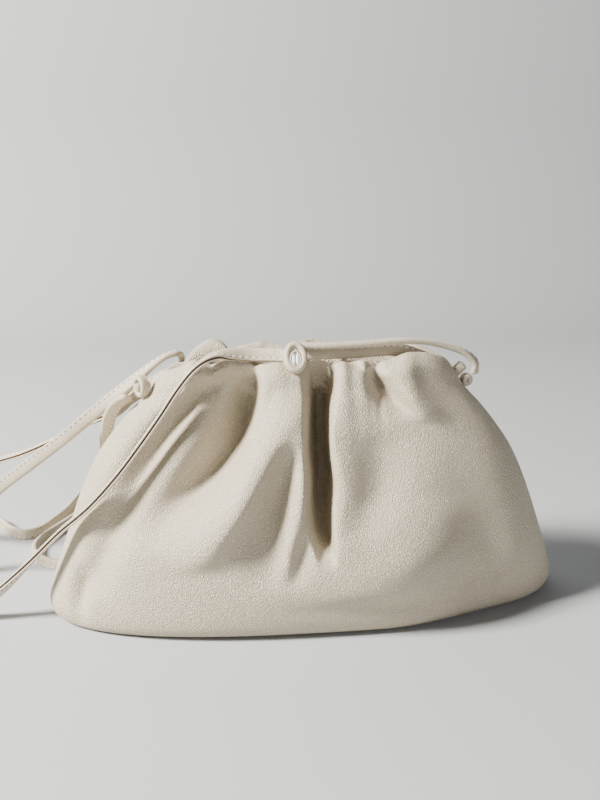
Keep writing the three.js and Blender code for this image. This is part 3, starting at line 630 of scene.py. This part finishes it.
for name, route in (("upper_strap", UPPER_ROUTE), ("lower_strap", LOWER_ROUTE)):
    line = lay_route(route)
    strap = sweep(name + "_leather", line, section, section_looks, strap_looks, STRAP_WIDE, STRAP_THICK)
    stitches = sew(name + "_stitches", line, UNSEWN_SHORT)
    for piece in (strap, stitches):
        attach(piece, "root")
    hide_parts(name)


# Pouch
# One soft cup of thick pebbled lambskin on a flat base, drawn in to a narrow mouth. Its fullness
# falls in a few deep pleats below the rim, which is turned over and gathered on a hidden frame.
POUCH_WIDE = 0.226
POUCH_DEEP = 0.088
POUCH_TALL = 0.110
WALL = 0.002
# The inside is set in a little more than the wall, because the wall leans
LEAN_ALLOWANCE = 1.15
# How far the base's front edge draws back, between which shares of the width and below which height
BASE_DRAWN_IN = 0.007
DRAWN_BETWEEN = (0.25, 0.75)
DRAWN_BELOW = 0.3
# The inside starts at this share of the height, below the turned rim
HIGHEST_INSIDE = 0.84
# The row of SECTIONS at the top of the rim; the rows after it turn down inside
RIM_STEP = 13
COLUMNS = 560
ROWS_OUTSIDE = 142
ROWS_RIM = 12
ROWS_INSIDE = 20
# Heights at which the columns are spread by the wall's length
EVEN_AT = (0.35, 0.5, 0.65, 0.8, 0.92)
# height, half width, half depth, power of the oval, share of the folds, share of the top line
SECTIONS = [
    (0, 0.945, 0.79, 2.55, 0, 0),
    (0.01, 0.98, 0.88, 2.55, 0, 0),
    (0.04, 1, 0.955, 2.45, 0.2, 0),
    (0.09, 1, 0.99, 2.35, 0.6, 0),
    (0.17, 0.974, 1, 2.25, 1, 0),
    (0.27, 0.938, 0.985, 2.2, 1, 0),
    (0.39, 0.897, 0.935, 2.2, 1, 0),
    (0.51, 0.852, 0.85, 2.2, 1, 0),
    (0.63, 0.796, 0.73, 2.25, 1, 0.05),
    (0.74, 0.725, 0.6, 2.3, 1, 0.15),
    (0.84, 0.656, 0.475, 2.35, 1, 0.4),
    (0.91, 0.603, 0.395, 2.4, 0.9, 0.75),
    (0.965, 0.567, 0.35, 2.5, 0.7, 1),
    (1, 0.53, 0.24, 2.6, 0.35, 1),
    (0.985, 0.5, 0.14, 2.6, 0.12, 1),
    (0.93, 0.49, 0.1, 2.6, 0.05, 0.9),
    (0.885, 0.51, 0.2, 2.5, 0.3, 0.6),
]
# share of the half width, rise of the front rim, rise of the back rim
CREST = [
    (-0.64, -0.075, -0.075),
    (-0.54, -0.045, -0.045),
    (-0.47, -0.018, -0.015),
    (-0.41, 0.002, 0.01),
    (-0.33, 0, 0.035),
    (-0.2, -0.01, 0.02),
    (0, -0.012, 0.03),
    (0.2, -0.012, 0.025),
    (0.3, -0.005, 0.01),
    (0.38, 0.015, 0.015),
    (0.45, 0.014, 0.012),
    (0.54, -0.025, -0.025),
    (0.64, -0.06, -0.06),
]
# name: power, slant of the groove's bottom to the right, then rows of height, place across,
# depth (below nought is a ridge), reach to the left, reach to the right
FOLDS = {
    "left sweep": (2, 0, [
        (0.977, -0.292, 0.07, 0.045, 0.04),
        (0.923, -0.362, 0.13, 0.055, 0.055),
        (0.882, -0.42, 0.17, 0.06, 0.065),
        (0.827, -0.486, 0.22, 0.062, 0.075),
        (0.75, -0.549, 0.24, 0.062, 0.075),
        (0.663, -0.608, 0.23, 0.062, 0.07),
        (0.57, -0.665, 0.19, 0.06, 0.07),
        (0.476, -0.71, 0.15, 0.055, 0.07),
        (0.389, -0.75, 0.12, 0.05, 0.07),
        (0.292, -0.787, 0.09, 0.045, 0.07),
        (0.193, -0.829, 0.06, 0.04, 0.07),
        (0.116, -0.862, 0, 0.03, 0.07),
    ]),
    "left pleat": (2, 0.0018, [
        (0.987, -0.213, 0.24, 0.08, 0.03),
        (0.917, -0.223, 0.38, 0.105, 0.03),
        (0.839, -0.24, 0.47, 0.125, 0.032),
        (0.765, -0.264, 0.51, 0.135, 0.035),
        (0.691, -0.302, 0.49, 0.135, 0.042),
        (0.624, -0.357, 0.43, 0.135, 0.055),
        (0.562, -0.421, 0.34, 0.13, 0.075),
        (0.505, -0.49, 0.24, 0.12, 0.09),
        (0.449, -0.556, 0.15, 0.11, 0.1),
        (0.393, -0.603, 0.08, 0.1, 0.1),
        (0.332, -0.63, 0, 0.09, 0.09),
    ]),
    "middle hollow": (2, 0, [
        (0.944, -0.13, 0, 0.03, 0.03),
        (0.864, -0.168, 0.03, 0.03, 0.03),
        (0.778, -0.207, 0.04, 0.03, 0.035),
        (0.704, -0.235, 0.03, 0.03, 0.03),
        (0.645, -0.258, 0, 0.03, 0.03),
    ]),
    "middle ridge": (2, 0, [
        (0.935, -0.052, 0, 0.06, 0.05),
        (0.829, -0.094, -0.06, 0.07, 0.055),
        (0.727, -0.152, -0.11, 0.085, 0.06),
        (0.618, -0.212, -0.15, 0.09, 0.065),
        (0.516, -0.272, -0.16, 0.1, 0.065),
        (0.42, -0.341, -0.13, 0.1, 0.07),
        (0.333, -0.407, -0.07, 0.1, 0.08),
        (0.256, -0.466, 0, 0.1, 0.08),
    ]),
    "middle valley": (2, 0, [
        (0.749, -0.073, 0, 0.06, 0.04),
        (0.669, -0.09, 0.07, 0.07, 0.042),
        (0.582, -0.116, 0.12, 0.085, 0.045),
        (0.495, -0.143, 0.14, 0.09, 0.05),
        (0.412, -0.168, 0.12, 0.095, 0.055),
        (0.334, -0.18, 0.08, 0.09, 0.055),
        (0.252, -0.18, 0.03, 0.08, 0.05),
        (0.19, -0.181, 0, 0.07, 0.05),
    ]),
    "foot ridge": (2, 0, [
        (0.68, -0.044, 0, 0.03, 0.03),
        (0.601, -0.055, -0.03, 0.03, 0.03),
        (0.507, -0.073, -0.05, 0.032, 0.03),
        (0.41, -0.093, -0.05, 0.032, 0.03),
        (0.324, -0.109, -0.03, 0.032, 0.03),
        (0.238, -0.121, 0, 0.03, 0.03),
    ]),
    "foot hollow": (2, 0, [
        (0.451, -0.042, 0, 0.03, 0.035),
        (0.384, -0.051, 0.04, 0.035, 0.04),
        (0.323, -0.063, 0.05, 0.035, 0.04),
        (0.256, -0.081, 0.03, 0.03, 0.04),
        (0.21, -0.096, 0, 0.03, 0.04),
    ]),
    "left lip": (2, 0, [
        (0.954, -0.051, -0.02, 0.05, 0.025),
        (0.88, -0.044, -0.05, 0.06, 0.025),
        (0.775, -0.047, -0.06, 0.06, 0.022),
        (0.674, -0.047, -0.05, 0.06, 0.022),
        (0.541, -0.05, -0.04, 0.05, 0.022),
        (0.436, -0.049, 0, 0.05, 0.022),
    ]),
    "centre pleat": (4, 0.0042, [
        (0.979, 0.032, 0.4, 0.052, 0.05),
        (0.878, 0.023, 0.53, 0.042, 0.042),
        (0.773, 0.012, 0.59, 0.036, 0.037),
        (0.673, 0.009, 0.59, 0.038, 0.039),
        (0.572, 0.013, 0.56, 0.042, 0.043),
        (0.487, 0.008, 0.48, 0.04, 0.038),
        (0.406, 0.014, 0.33, 0.034, 0.032),
        (0.348, 0.026, 0.13, 0.03, 0.025),
        (0.295, 0.036, 0, 0.03, 0.025),
    ]),
    "right lip": (2, 0, [
        (0.972, 0.12, -0.03, 0.025, 0.08),
        (0.876, 0.098, -0.06, 0.028, 0.09),
        (0.772, 0.07, -0.08, 0.03, 0.1),
        (0.67, 0.089, -0.06, 0.03, 0.1),
        (0.568, 0.109, -0.04, 0.03, 0.1),
        (0.466, 0.083, -0.05, 0.03, 0.09),
        (0.378, 0.077, -0.04, 0.03, 0.08),
        (0.286, 0.077, 0, 0.03, 0.07),
    ]),
    "right slot": (2, 0.0006, [
        (1, 0.167, 0.11, 0.02, 0.014),
        (0.985, 0.173, 0.1, 0.02, 0.014),
        (0.962, 0.189, 0.05, 0.02, 0.014),
        (0.931, 0.207, 0, 0.02, 0.014),
    ]),
    "right pucker": (1.8, 0.0014, [
        (0.997, 0.225, 0.1, 0.04, 0.02),
        (0.951, 0.241, 0.19, 0.04, 0.022),
        (0.903, 0.266, 0.17, 0.045, 0.025),
        (0.857, 0.297, 0.11, 0.045, 0.03),
        (0.818, 0.329, 0.06, 0.045, 0.04),
        (0.78, 0.364, 0, 0.04, 0.05),
    ]),
    "right ridge": (2, 0, [
        (0.999, 0.279, -0.04, 0.03, 0.06),
        (0.943, 0.316, -0.07, 0.035, 0.065),
        (0.874, 0.355, -0.09, 0.04, 0.07),
        (0.816, 0.397, -0.07, 0.05, 0.08),
        (0.76, 0.447, 0, 0.05, 0.08),
    ]),
    "right hollow": (2, 0, [
        (0.797, 0.262, 0, 0.1, 0.1),
        (0.696, 0.248, 0.05, 0.11, 0.11),
        (0.595, 0.23, 0.08, 0.11, 0.1),
        (0.511, 0.204, 0.08, 0.1, 0.09),
        (0.444, 0.166, 0.05, 0.09, 0.08),
        (0.376, 0.12, 0, 0.08, 0.07),
    ]),
    "right side valley": (2, 0, [
        (0.779, 0.514, 0, 0.1, 0.1),
        (0.599, 0.563, 0.03, 0.13, 0.13),
        (0.442, 0.608, 0.055, 0.14, 0.14),
        (0.303, 0.641, 0.07, 0.14, 0.12),
        (0.188, 0.636, 0.06, 0.13, 0.1),
        (0.113, 0.613, 0.04, 0.1, 0.08),
    ]),
    "low belly": (2, 0, [
        (0.538, 0.302, 0, 0.25, 0.22),
        (0.416, 0.304, -0.09, 0.25, 0.2),
        (0.314, 0.295, -0.15, 0.27, 0.2),
        (0.202, 0.268, -0.1, 0.3, 0.2),
        (0.106, 0.244, 0, 0.34, 0.2),
    ]),
    "left corner": (2, 0, [
        (0.272, -0.859, 0, 0.022, 0.035),
        (0.218, -0.867, 0.05, 0.022, 0.035),
        (0.162, -0.873, 0.1, 0.022, 0.035),
        (0.112, -0.874, 0.11, 0.022, 0.035),
        (0.067, -0.871, 0.06, 0.022, 0.035),
    ]),
    "right corner": (2, 0, [
        (0.148, 0.869, 0, 0.02, 0.03),
        (0.042, 0.939, 0.05, 0.02, 0.03),
        (0.025, 0.94, 0.06, 0.02, 0.03),
        (0.019, 0.928, 0, 0.02, 0.03),
    ]),
}
# Small gathers of the rim: middle, how far each reaches, how much it rises, how far it puffs out
FRONT_GATHERS = [
    (-0.43, 0.03, 0.01, 0.0006),
    (-0.36, 0.02, -0.012, -0.0006),
    (-0.29, 0.03, 0.01, 0.0008),
    (-0.2, 0.016, -0.012, -0.0008),
    (-0.12, 0.04, 0.012, 0.001),
    (0.02, 0.02, 0.012, 0.0008),
    (0.075, 0.012, -0.014, -0.0008),
    (0.12, 0.02, 0.01, 0.0006),
    (0.19, 0.025, 0.012, 0.0012),
    (0.25, 0.014, -0.016, -0.0012),
    (0.35, 0.05, 0.012, 0.0012),
]
BACK_GATHERS = [
    (-0.46, 0.02, -0.015, -0.001),
    (-0.37, 0.065, 0.026, 0.002),
    (-0.28, 0.022, -0.028, -0.002),
    (-0.17, 0.06, 0.022, 0.002),
    (-0.07, 0.014, -0.022, -0.002),
    (0.03, 0.055, 0.02, 0.002),
    (0.13, 0.014, -0.018, -0.0016),
    (0.22, 0.05, 0.014, 0.0016),
    (0.33, 0.016, -0.016, -0.0014),
    (0.42, 0.03, 0.01, 0.001),
]
sections = np.array(SECTIONS)
crest = np.array(CREST)


def section_at(step):
    """A section of the pouch at a step between the rows."""
    rows = np.arange(len(sections))
    return smooth_through(rows, sections, np.atleast_1d(step))[0]


def step_at(tall):
    """The step on the outside wall that is this high."""
    steps = np.linspace(0, RIM_STEP, 4001)
    heights = smooth_through(np.arange(len(sections)), sections[:, 0], steps)
    return float(np.interp(tall, heights, steps))


def even_step(low, high, value):
    """A smooth step from nought at low to one at high; low may be above high."""
    t = np.clip((value - low) / (high - low), 0, 1)
    return t * t * (3 - 2 * t)


def fold_relief(across, tall, inside=False):
    """Depth of all the folds at places on a wall, and how far their bottoms lean to the right."""
    depth = np.zeros_like(across)
    slant = np.zeros_like(across)
    for power, lean, rows in FOLDS.values():
        rows = np.array(rows)
        # Only the depth, the second column, is level at a fold's ends
        centre, deep, left, right = (
            float(smooth_through(rows[:, 0], rows[:, k], np.array([tall]), k == 2)[0])
            for k in range(1, 5)
        )
        more = WALL / (POUCH_WIDE / 2) if inside and deep > 0 else 0
        off = across - centre
        reach = np.where(off < 0, left, right) + more
        share = np.exp(-(np.abs(off / reach) ** power))
        depth += deep * share
        slant += lean * share * max(deep, 0) / max(rows[:, 2].max(), 0.01)
    return depth, slant


def rim_gathers(rows, share):
    """How much the small gathers lift the rim, and how far they puff it out, along its length."""
    near = np.exp(-(((share[:, None] - np.array(rows)[:, 0]) / np.array(rows)[:, 1]) ** 2))
    return near @ np.array(rows)[:, 2], near @ np.array(rows)[:, 3]


def pouch_ring(section, angles, inset=0.0):
    """One ring of the pouch with its folds, its gathers and the line of its rim."""
    tall, wide, deep, power, folds, line = section
    wide = wide * POUCH_WIDE / 2 - inset
    deep = deep * POUCH_DEEP / 2 - inset
    x = wide * np.sign(np.cos(angles)) * np.abs(np.cos(angles)) ** (2 / power)
    y = deep * np.sign(np.sin(angles)) * np.abs(np.sin(angles)) ** (2 / power)
    share = x / (POUCH_WIDE / 2)
    drawn_in = BASE_DRAWN_IN * even_step(*DRAWN_BETWEEN, share) * even_step(DRAWN_BELOW, 0, tall)
    out = np.stack(
        [
            np.sign(x) * np.abs(x / wide) ** (power - 1) / wide,
            np.sign(y) * np.abs(y / deep) ** (power - 1) / deep,
        ],
        axis=1,
    )
    out = unit(out)
    facing = even_step(0, 0.55, np.abs(y) / deep) * folds
    across = np.where(y < 0, x, -x) / (POUCH_WIDE / 2)
    depth, slant = fold_relief(across, tall, inset > 0)
    depth = depth * facing * POUCH_DEEP / 2
    slant = slant * facing
    rearward = even_step(-0.6, 0.6, y / deep)
    rise = smooth_through(crest[:, 0], crest[:, 1], share) * (1 - rearward)
    rise += smooth_through(crest[:, 0], crest[:, 2], share) * rearward
    front_lift, front_puff = rim_gathers(FRONT_GATHERS, share)
    back_lift, back_puff = rim_gathers(BACK_GATHERS, share)
    rise += front_lift * (1 - rearward) + back_lift * rearward
    depth -= (front_puff * (1 - rearward) + back_puff * rearward) * line**2 * (0.5 if inset else 1)
    z = (tall + rise * line) * POUCH_TALL
    y = y + drawn_in * (1 - rearward)
    sideways = out[:, 0] * depth + out[:, 1] * slant
    forward = out[:, 1] * depth - out[:, 0] * slant
    return np.column_stack([x - sideways, y - forward, z])


def even_angles(count):
    """Angles that spread the columns evenly along the folded wall, so the pleats get their share."""
    turn = np.linspace(0, 2 * math.pi, 4001)
    lengths = 0
    for tall in EVEN_AT:
        ring = pouch_ring(section_at(step_at(tall)), turn)
        lengths = lengths + np.linalg.norm(np.diff(ring, axis=0), axis=1)
    reach = np.append(0, np.cumsum(lengths))
    return np.interp(np.arange(count) / count * reach[-1], reach, turn)


angles = even_angles(COLUMNS)
rings = []
last_step = len(SECTIONS) - 1
for step in np.linspace(0, RIM_STEP, ROWS_OUTSIDE + 1):
    rings.append(pouch_ring(section_at(step), angles))
for step in np.linspace(RIM_STEP, last_step, ROWS_RIM + 1)[1:]:
    rings.append(pouch_ring(section_at(step), angles))
lowest = WALL / POUCH_TALL
for share in np.linspace(0, 1, ROWS_INSIDE + 1) ** 0.8:
    tall = HIGHEST_INSIDE + (lowest - HIGHEST_INSIDE) * share
    inner = section_at(step_at(tall))
    inner[0] = tall
    rings.append(pouch_ring(inner, angles, WALL * LEAN_ALLOWANCE))
points = np.vstack([[[0, 0, 0]], *rings, [[0, 0, WALL]]])
count = len(rings)
faces = []
for i in range(COLUMNS):
    n = (i + 1) % COLUMNS
    faces.append((0, 1 + n, 1 + i))
    for r in range(count - 1):
        a = 1 + r * COLUMNS
        b = a + COLUMNS
        faces.append((a + i, a + n, b + n, b + i))
    top = 1 + (count - 1) * COLUMNS
    faces.append((len(points) - 1, top + i, top + n))
# Lambskin, soft pebbled grain and half matt: small domes catch the light, and the creases are painted
# darker and warm as shade.
# The pebbles are 0.86 mm, a little coarse so that they show, and longer up the wall than across.
POUCH_COLOUR = "d5cab5"
POUCH_CREASE_SHADE = "b9ac93"
POUCH_PEBBLE = 0.00086
POUCH_PEBBLE_DEPTH = 0.0003
PEBBLE_ALONG = (1, 1, 0.66)
pouch_leather, tree, shader = new_material("lambskin, soft pebbled cream", POUCH_COLOUR, 0.47)
add_grain(
    tree, shader, POUCH_COLOUR, POUCH_CREASE_SHADE, POUCH_PEBBLE, POUCH_PEBBLE_DEPTH, PEBBLE_ALONG
)
pouch = add_mesh("pouch_leather_cup", points, faces, [pouch_leather])
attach(pouch, "root")
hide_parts("pouch_body")


# Left end of the mouth
# A round rolled stub of the pouch's own leather comes out of the mouth. The strap's end is a ring
# of the same folded strip, pushed over the stub and free to turn on it.
STUB_THICK = 0.0038
STUB_TURN = 0.5
STUB_STEP = 0.0003
STUB_ROUNDING = 0.0012
# x, y, z along the stub's middle, then the way up, from the free end to the mouth
STUB_ROUTE = [
    (-0.0721, -0.0031, 0.0984, 0, 0, 1),
    (-0.0706, -0.0021, 0.0989, 0, 0, 1),
    (-0.0684, -0.0009, 0.0993, 0, 0, 1),
    (-0.0663, 0.0003, 0.0996, 0, 0, 1),
]
RING_MIDDLE = (-0.0699, -0.0017, 0.0992)
RING_RADIUS = 0.0037
RING_WIDE = 0.0036
RING_THICK = 0.0022
RING_STEP = 0.0005


def round_section(points=20):
    """A round section with the look of leather all over."""
    turns = np.arange(points) / points * 2 * math.pi
    return np.column_stack([np.cos(turns), np.sin(turns)]), ["leather"] * points


def closing_ends(line, reach, smallest=0.15):
    """Shares of the full size along a line that round its two ends off over a reach."""
    from_end = np.minimum(line["reach"], line["reach"][-1] - line["reach"])
    t = np.clip(from_end / reach, 0, 1)
    return np.maximum(np.sqrt(1 - (1 - t) ** 2), smallest)


def loop_rows(middle, forward, up, wide, tall, points=16, neck=0.0):
    """Route rows of an oval loop that faces forward; its neck is how much narrower its top is."""
    middle, forward, up = (np.array(v, float) for v in (middle, forward, up))
    right = unit(np.cross(forward, up))
    rows = []
    for turn in np.arange(points) / points * 2 * math.pi:
        narrow = 1 - neck * max(math.sin(turn), 0)
        out = right * math.cos(turn) * narrow * wide / 2 + up * math.sin(turn) * tall / 2
        face = unit(right * math.cos(turn) * tall + up * math.sin(turn) * wide)
        rows.append((*(middle + out), *face))
    return rows


round_points, round_looks = round_section()
stub_line = lay_route(STUB_ROUTE, STUB_STEP)
stub_thick = STUB_THICK * closing_ends(stub_line, STUB_ROUNDING)
stub = sweep(
    "rolled_stub",
    stub_line,
    round_points,
    round_looks,
    [pouch_leather, edge_paint],
    stub_thick,
    stub_thick,
)
ring_way = np.array((-math.cos(STUB_TURN), -math.sin(STUB_TURN), 0))
ring_line = lay_route(
    loop_rows(RING_MIDDLE, ring_way, (0, 0, 1), 2 * RING_RADIUS, 2 * RING_RADIUS), RING_STEP, True
)
ring = sweep(
    "strap_end_ring", ring_line, section, section_looks, strap_looks, RING_WIDE, RING_THICK, True
)
for piece, replaced, slot in (
    (stub, "side_loop_left", "pouch_leather"),
    (ring, "strap_ring_left", "strap_leather"),
):
    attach(piece, "root")
    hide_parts(replaced)


# Right end of the mouth
# A small folded tab of the pouch's leather, and the strap's end tied under it in a tight knot.
TAB_WIDE = 0.0048
TAB_THICK = 0.004
TAB_STEP = 0.0003
# Over which reach its ends close across and through, and the share of the size they close to
TAB_ROUNDING = (0.0009, 0.0006)
TAB_BLUNT = 0.5
TAB_ROUTE = [
    (0.064, 0, 0.101, -0.75, 0, 0.65),
    (0.0652, 0, 0.1022, -0.75, 0, 0.65),
    (0.0666, 0, 0.1036, -0.75, 0, 0.65),
    (0.0681, 0, 0.105, -0.7, 0, 0.7),
]
KNOT_MIDDLE = (0.0696, 0, 0.098)
KNOT_FORWARD = (0.25, -1, 0.3)
KNOT_UP = (0.3, 0, 1)
KNOT_RADIUS = 0.0013
KNOT_WIDE = 0.0042
KNOT_THICK = 0.0024
KNOT_STEP = 0.0003
tab_line = lay_route(TAB_ROUTE, TAB_STEP)
tab = sweep(
    "folded_tab",
    tab_line,
    section,
    section_looks,
    # The tab's slit also takes the dark painted shade between the plies
    [pouch_leather, edge_paint, slit_painted_shade],
    TAB_WIDE * closing_ends(tab_line, TAB_ROUNDING[0], TAB_BLUNT),
    TAB_THICK * closing_ends(tab_line, TAB_ROUNDING[1], TAB_BLUNT),
)
knot_line = lay_route(
    loop_rows(KNOT_MIDDLE, KNOT_FORWARD, KNOT_UP, 2 * KNOT_RADIUS, 2.3 * KNOT_RADIUS),
    KNOT_STEP,
    True,
)
right_knot = sweep(
    "right_knot", knot_line, section, section_looks, strap_looks, KNOT_WIDE, KNOT_THICK, True
)
for piece, replaced, slot in (
    (tab, "side_loop_right", "pouch_leather"),
    (right_knot, "strap_knot_right", "strap_leather"),
):
    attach(piece, "root")
    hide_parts(replaced)


# Middle knot
# The strap's own loop pulled tight over the middle of the front rim. A thinner turn lies inside
# it, round the strap's cut end, whose two plies show white.
LOOP_MIDDLE = np.array((-0.0063, -0.0131, 0.1125))
LOOP_LEAN = 0.56
LOOP_WIDE = 0.0071
LOOP_TALL = 0.0108
LOOP_BAND = 0.0036
LOOP_THICK = 0.0029
LOOP_STEP = 0.0004
# The inner turn lies a little forward of the loop's middle and below it
TURN_FORWARD = 0.0004
TURN_BELOW = 0.001
TURN_WIDE = 0.0042
TURN_TALL = 0.0066
TURN_BAND = 0.0024
TURN_THICK = 0.0013
TURN_NECK = 0.2
TURN_STEP = 0.0003
# The two plies of the cut end side by side: the pair's size, its drop below the turn's middle,
# the places along one ply, and how much shorter the right ply is
END_WIDE = 0.0032
END_TALL = 0.0055
END_BELOW = 0.0002
END_ALONG = (-0.0012, -0.0004, 0.0004, 0.0011)
END_STEP = 0.0002
END_ROUNDING = 0.0004
PLIES = {"left": (-1, 1), "right": (1, 0.92)}
forward = np.array((0, -math.cos(LOOP_LEAN), math.sin(LOOP_LEAN)))
upward = np.array((0, math.sin(LOOP_LEAN), math.cos(LOOP_LEAN)))
loop_line = lay_route(
    loop_rows(LOOP_MIDDLE, forward, upward, LOOP_WIDE, LOOP_TALL), LOOP_STEP, True
)
loop = sweep(
    "knot_loop", loop_line, round_points, round_looks, [strap_leather], LOOP_BAND, LOOP_THICK, True
)
turn_middle = LOOP_MIDDLE + forward * TURN_FORWARD - upward * TURN_BELOW
turn_line = lay_route(
    loop_rows(turn_middle, forward, upward, TURN_WIDE, TURN_TALL, neck=TURN_NECK), TURN_STEP, True
)
turn = sweep(
    "knot_inner_turn",
    turn_line,
    round_points,
    round_looks,
    [strap_leather],
    TURN_BAND,
    TURN_THICK,
    True,
)
# Cut edge, sealed white: the two cold bright plies in the warm knot, uneven every 1.1 mm
white_cut, tree, shader = new_material("sealed cut edge, glossy white", "eef2ef", 0.3)
add_ripples(tree, shader, 900, 2, 0.6, 0.0001)
plies = []
for place, (side, share) in PLIES.items():
    middle = turn_middle + np.array((side * END_WIDE / 4, 0, 0)) - upward * END_BELOW
    ply_line = lay_route([(*(middle + forward * d), *upward) for d in END_ALONG], END_STEP)
    plies.append(
        sweep(
            f"cut_ply_{place}",
            ply_line,
            round_points,
            round_looks,
            [white_cut],
            END_WIDE * 0.5 * closing_ends(ply_line, END_ROUNDING, 0.7),
            END_TALL * share * closing_ends(ply_line, END_ROUNDING, 0.8),
        )
    )
for piece in (loop, turn):
    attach(piece, "root")
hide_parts("centre_knot")
for piece in plies:
    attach(piece, "root")
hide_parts("strap_end")
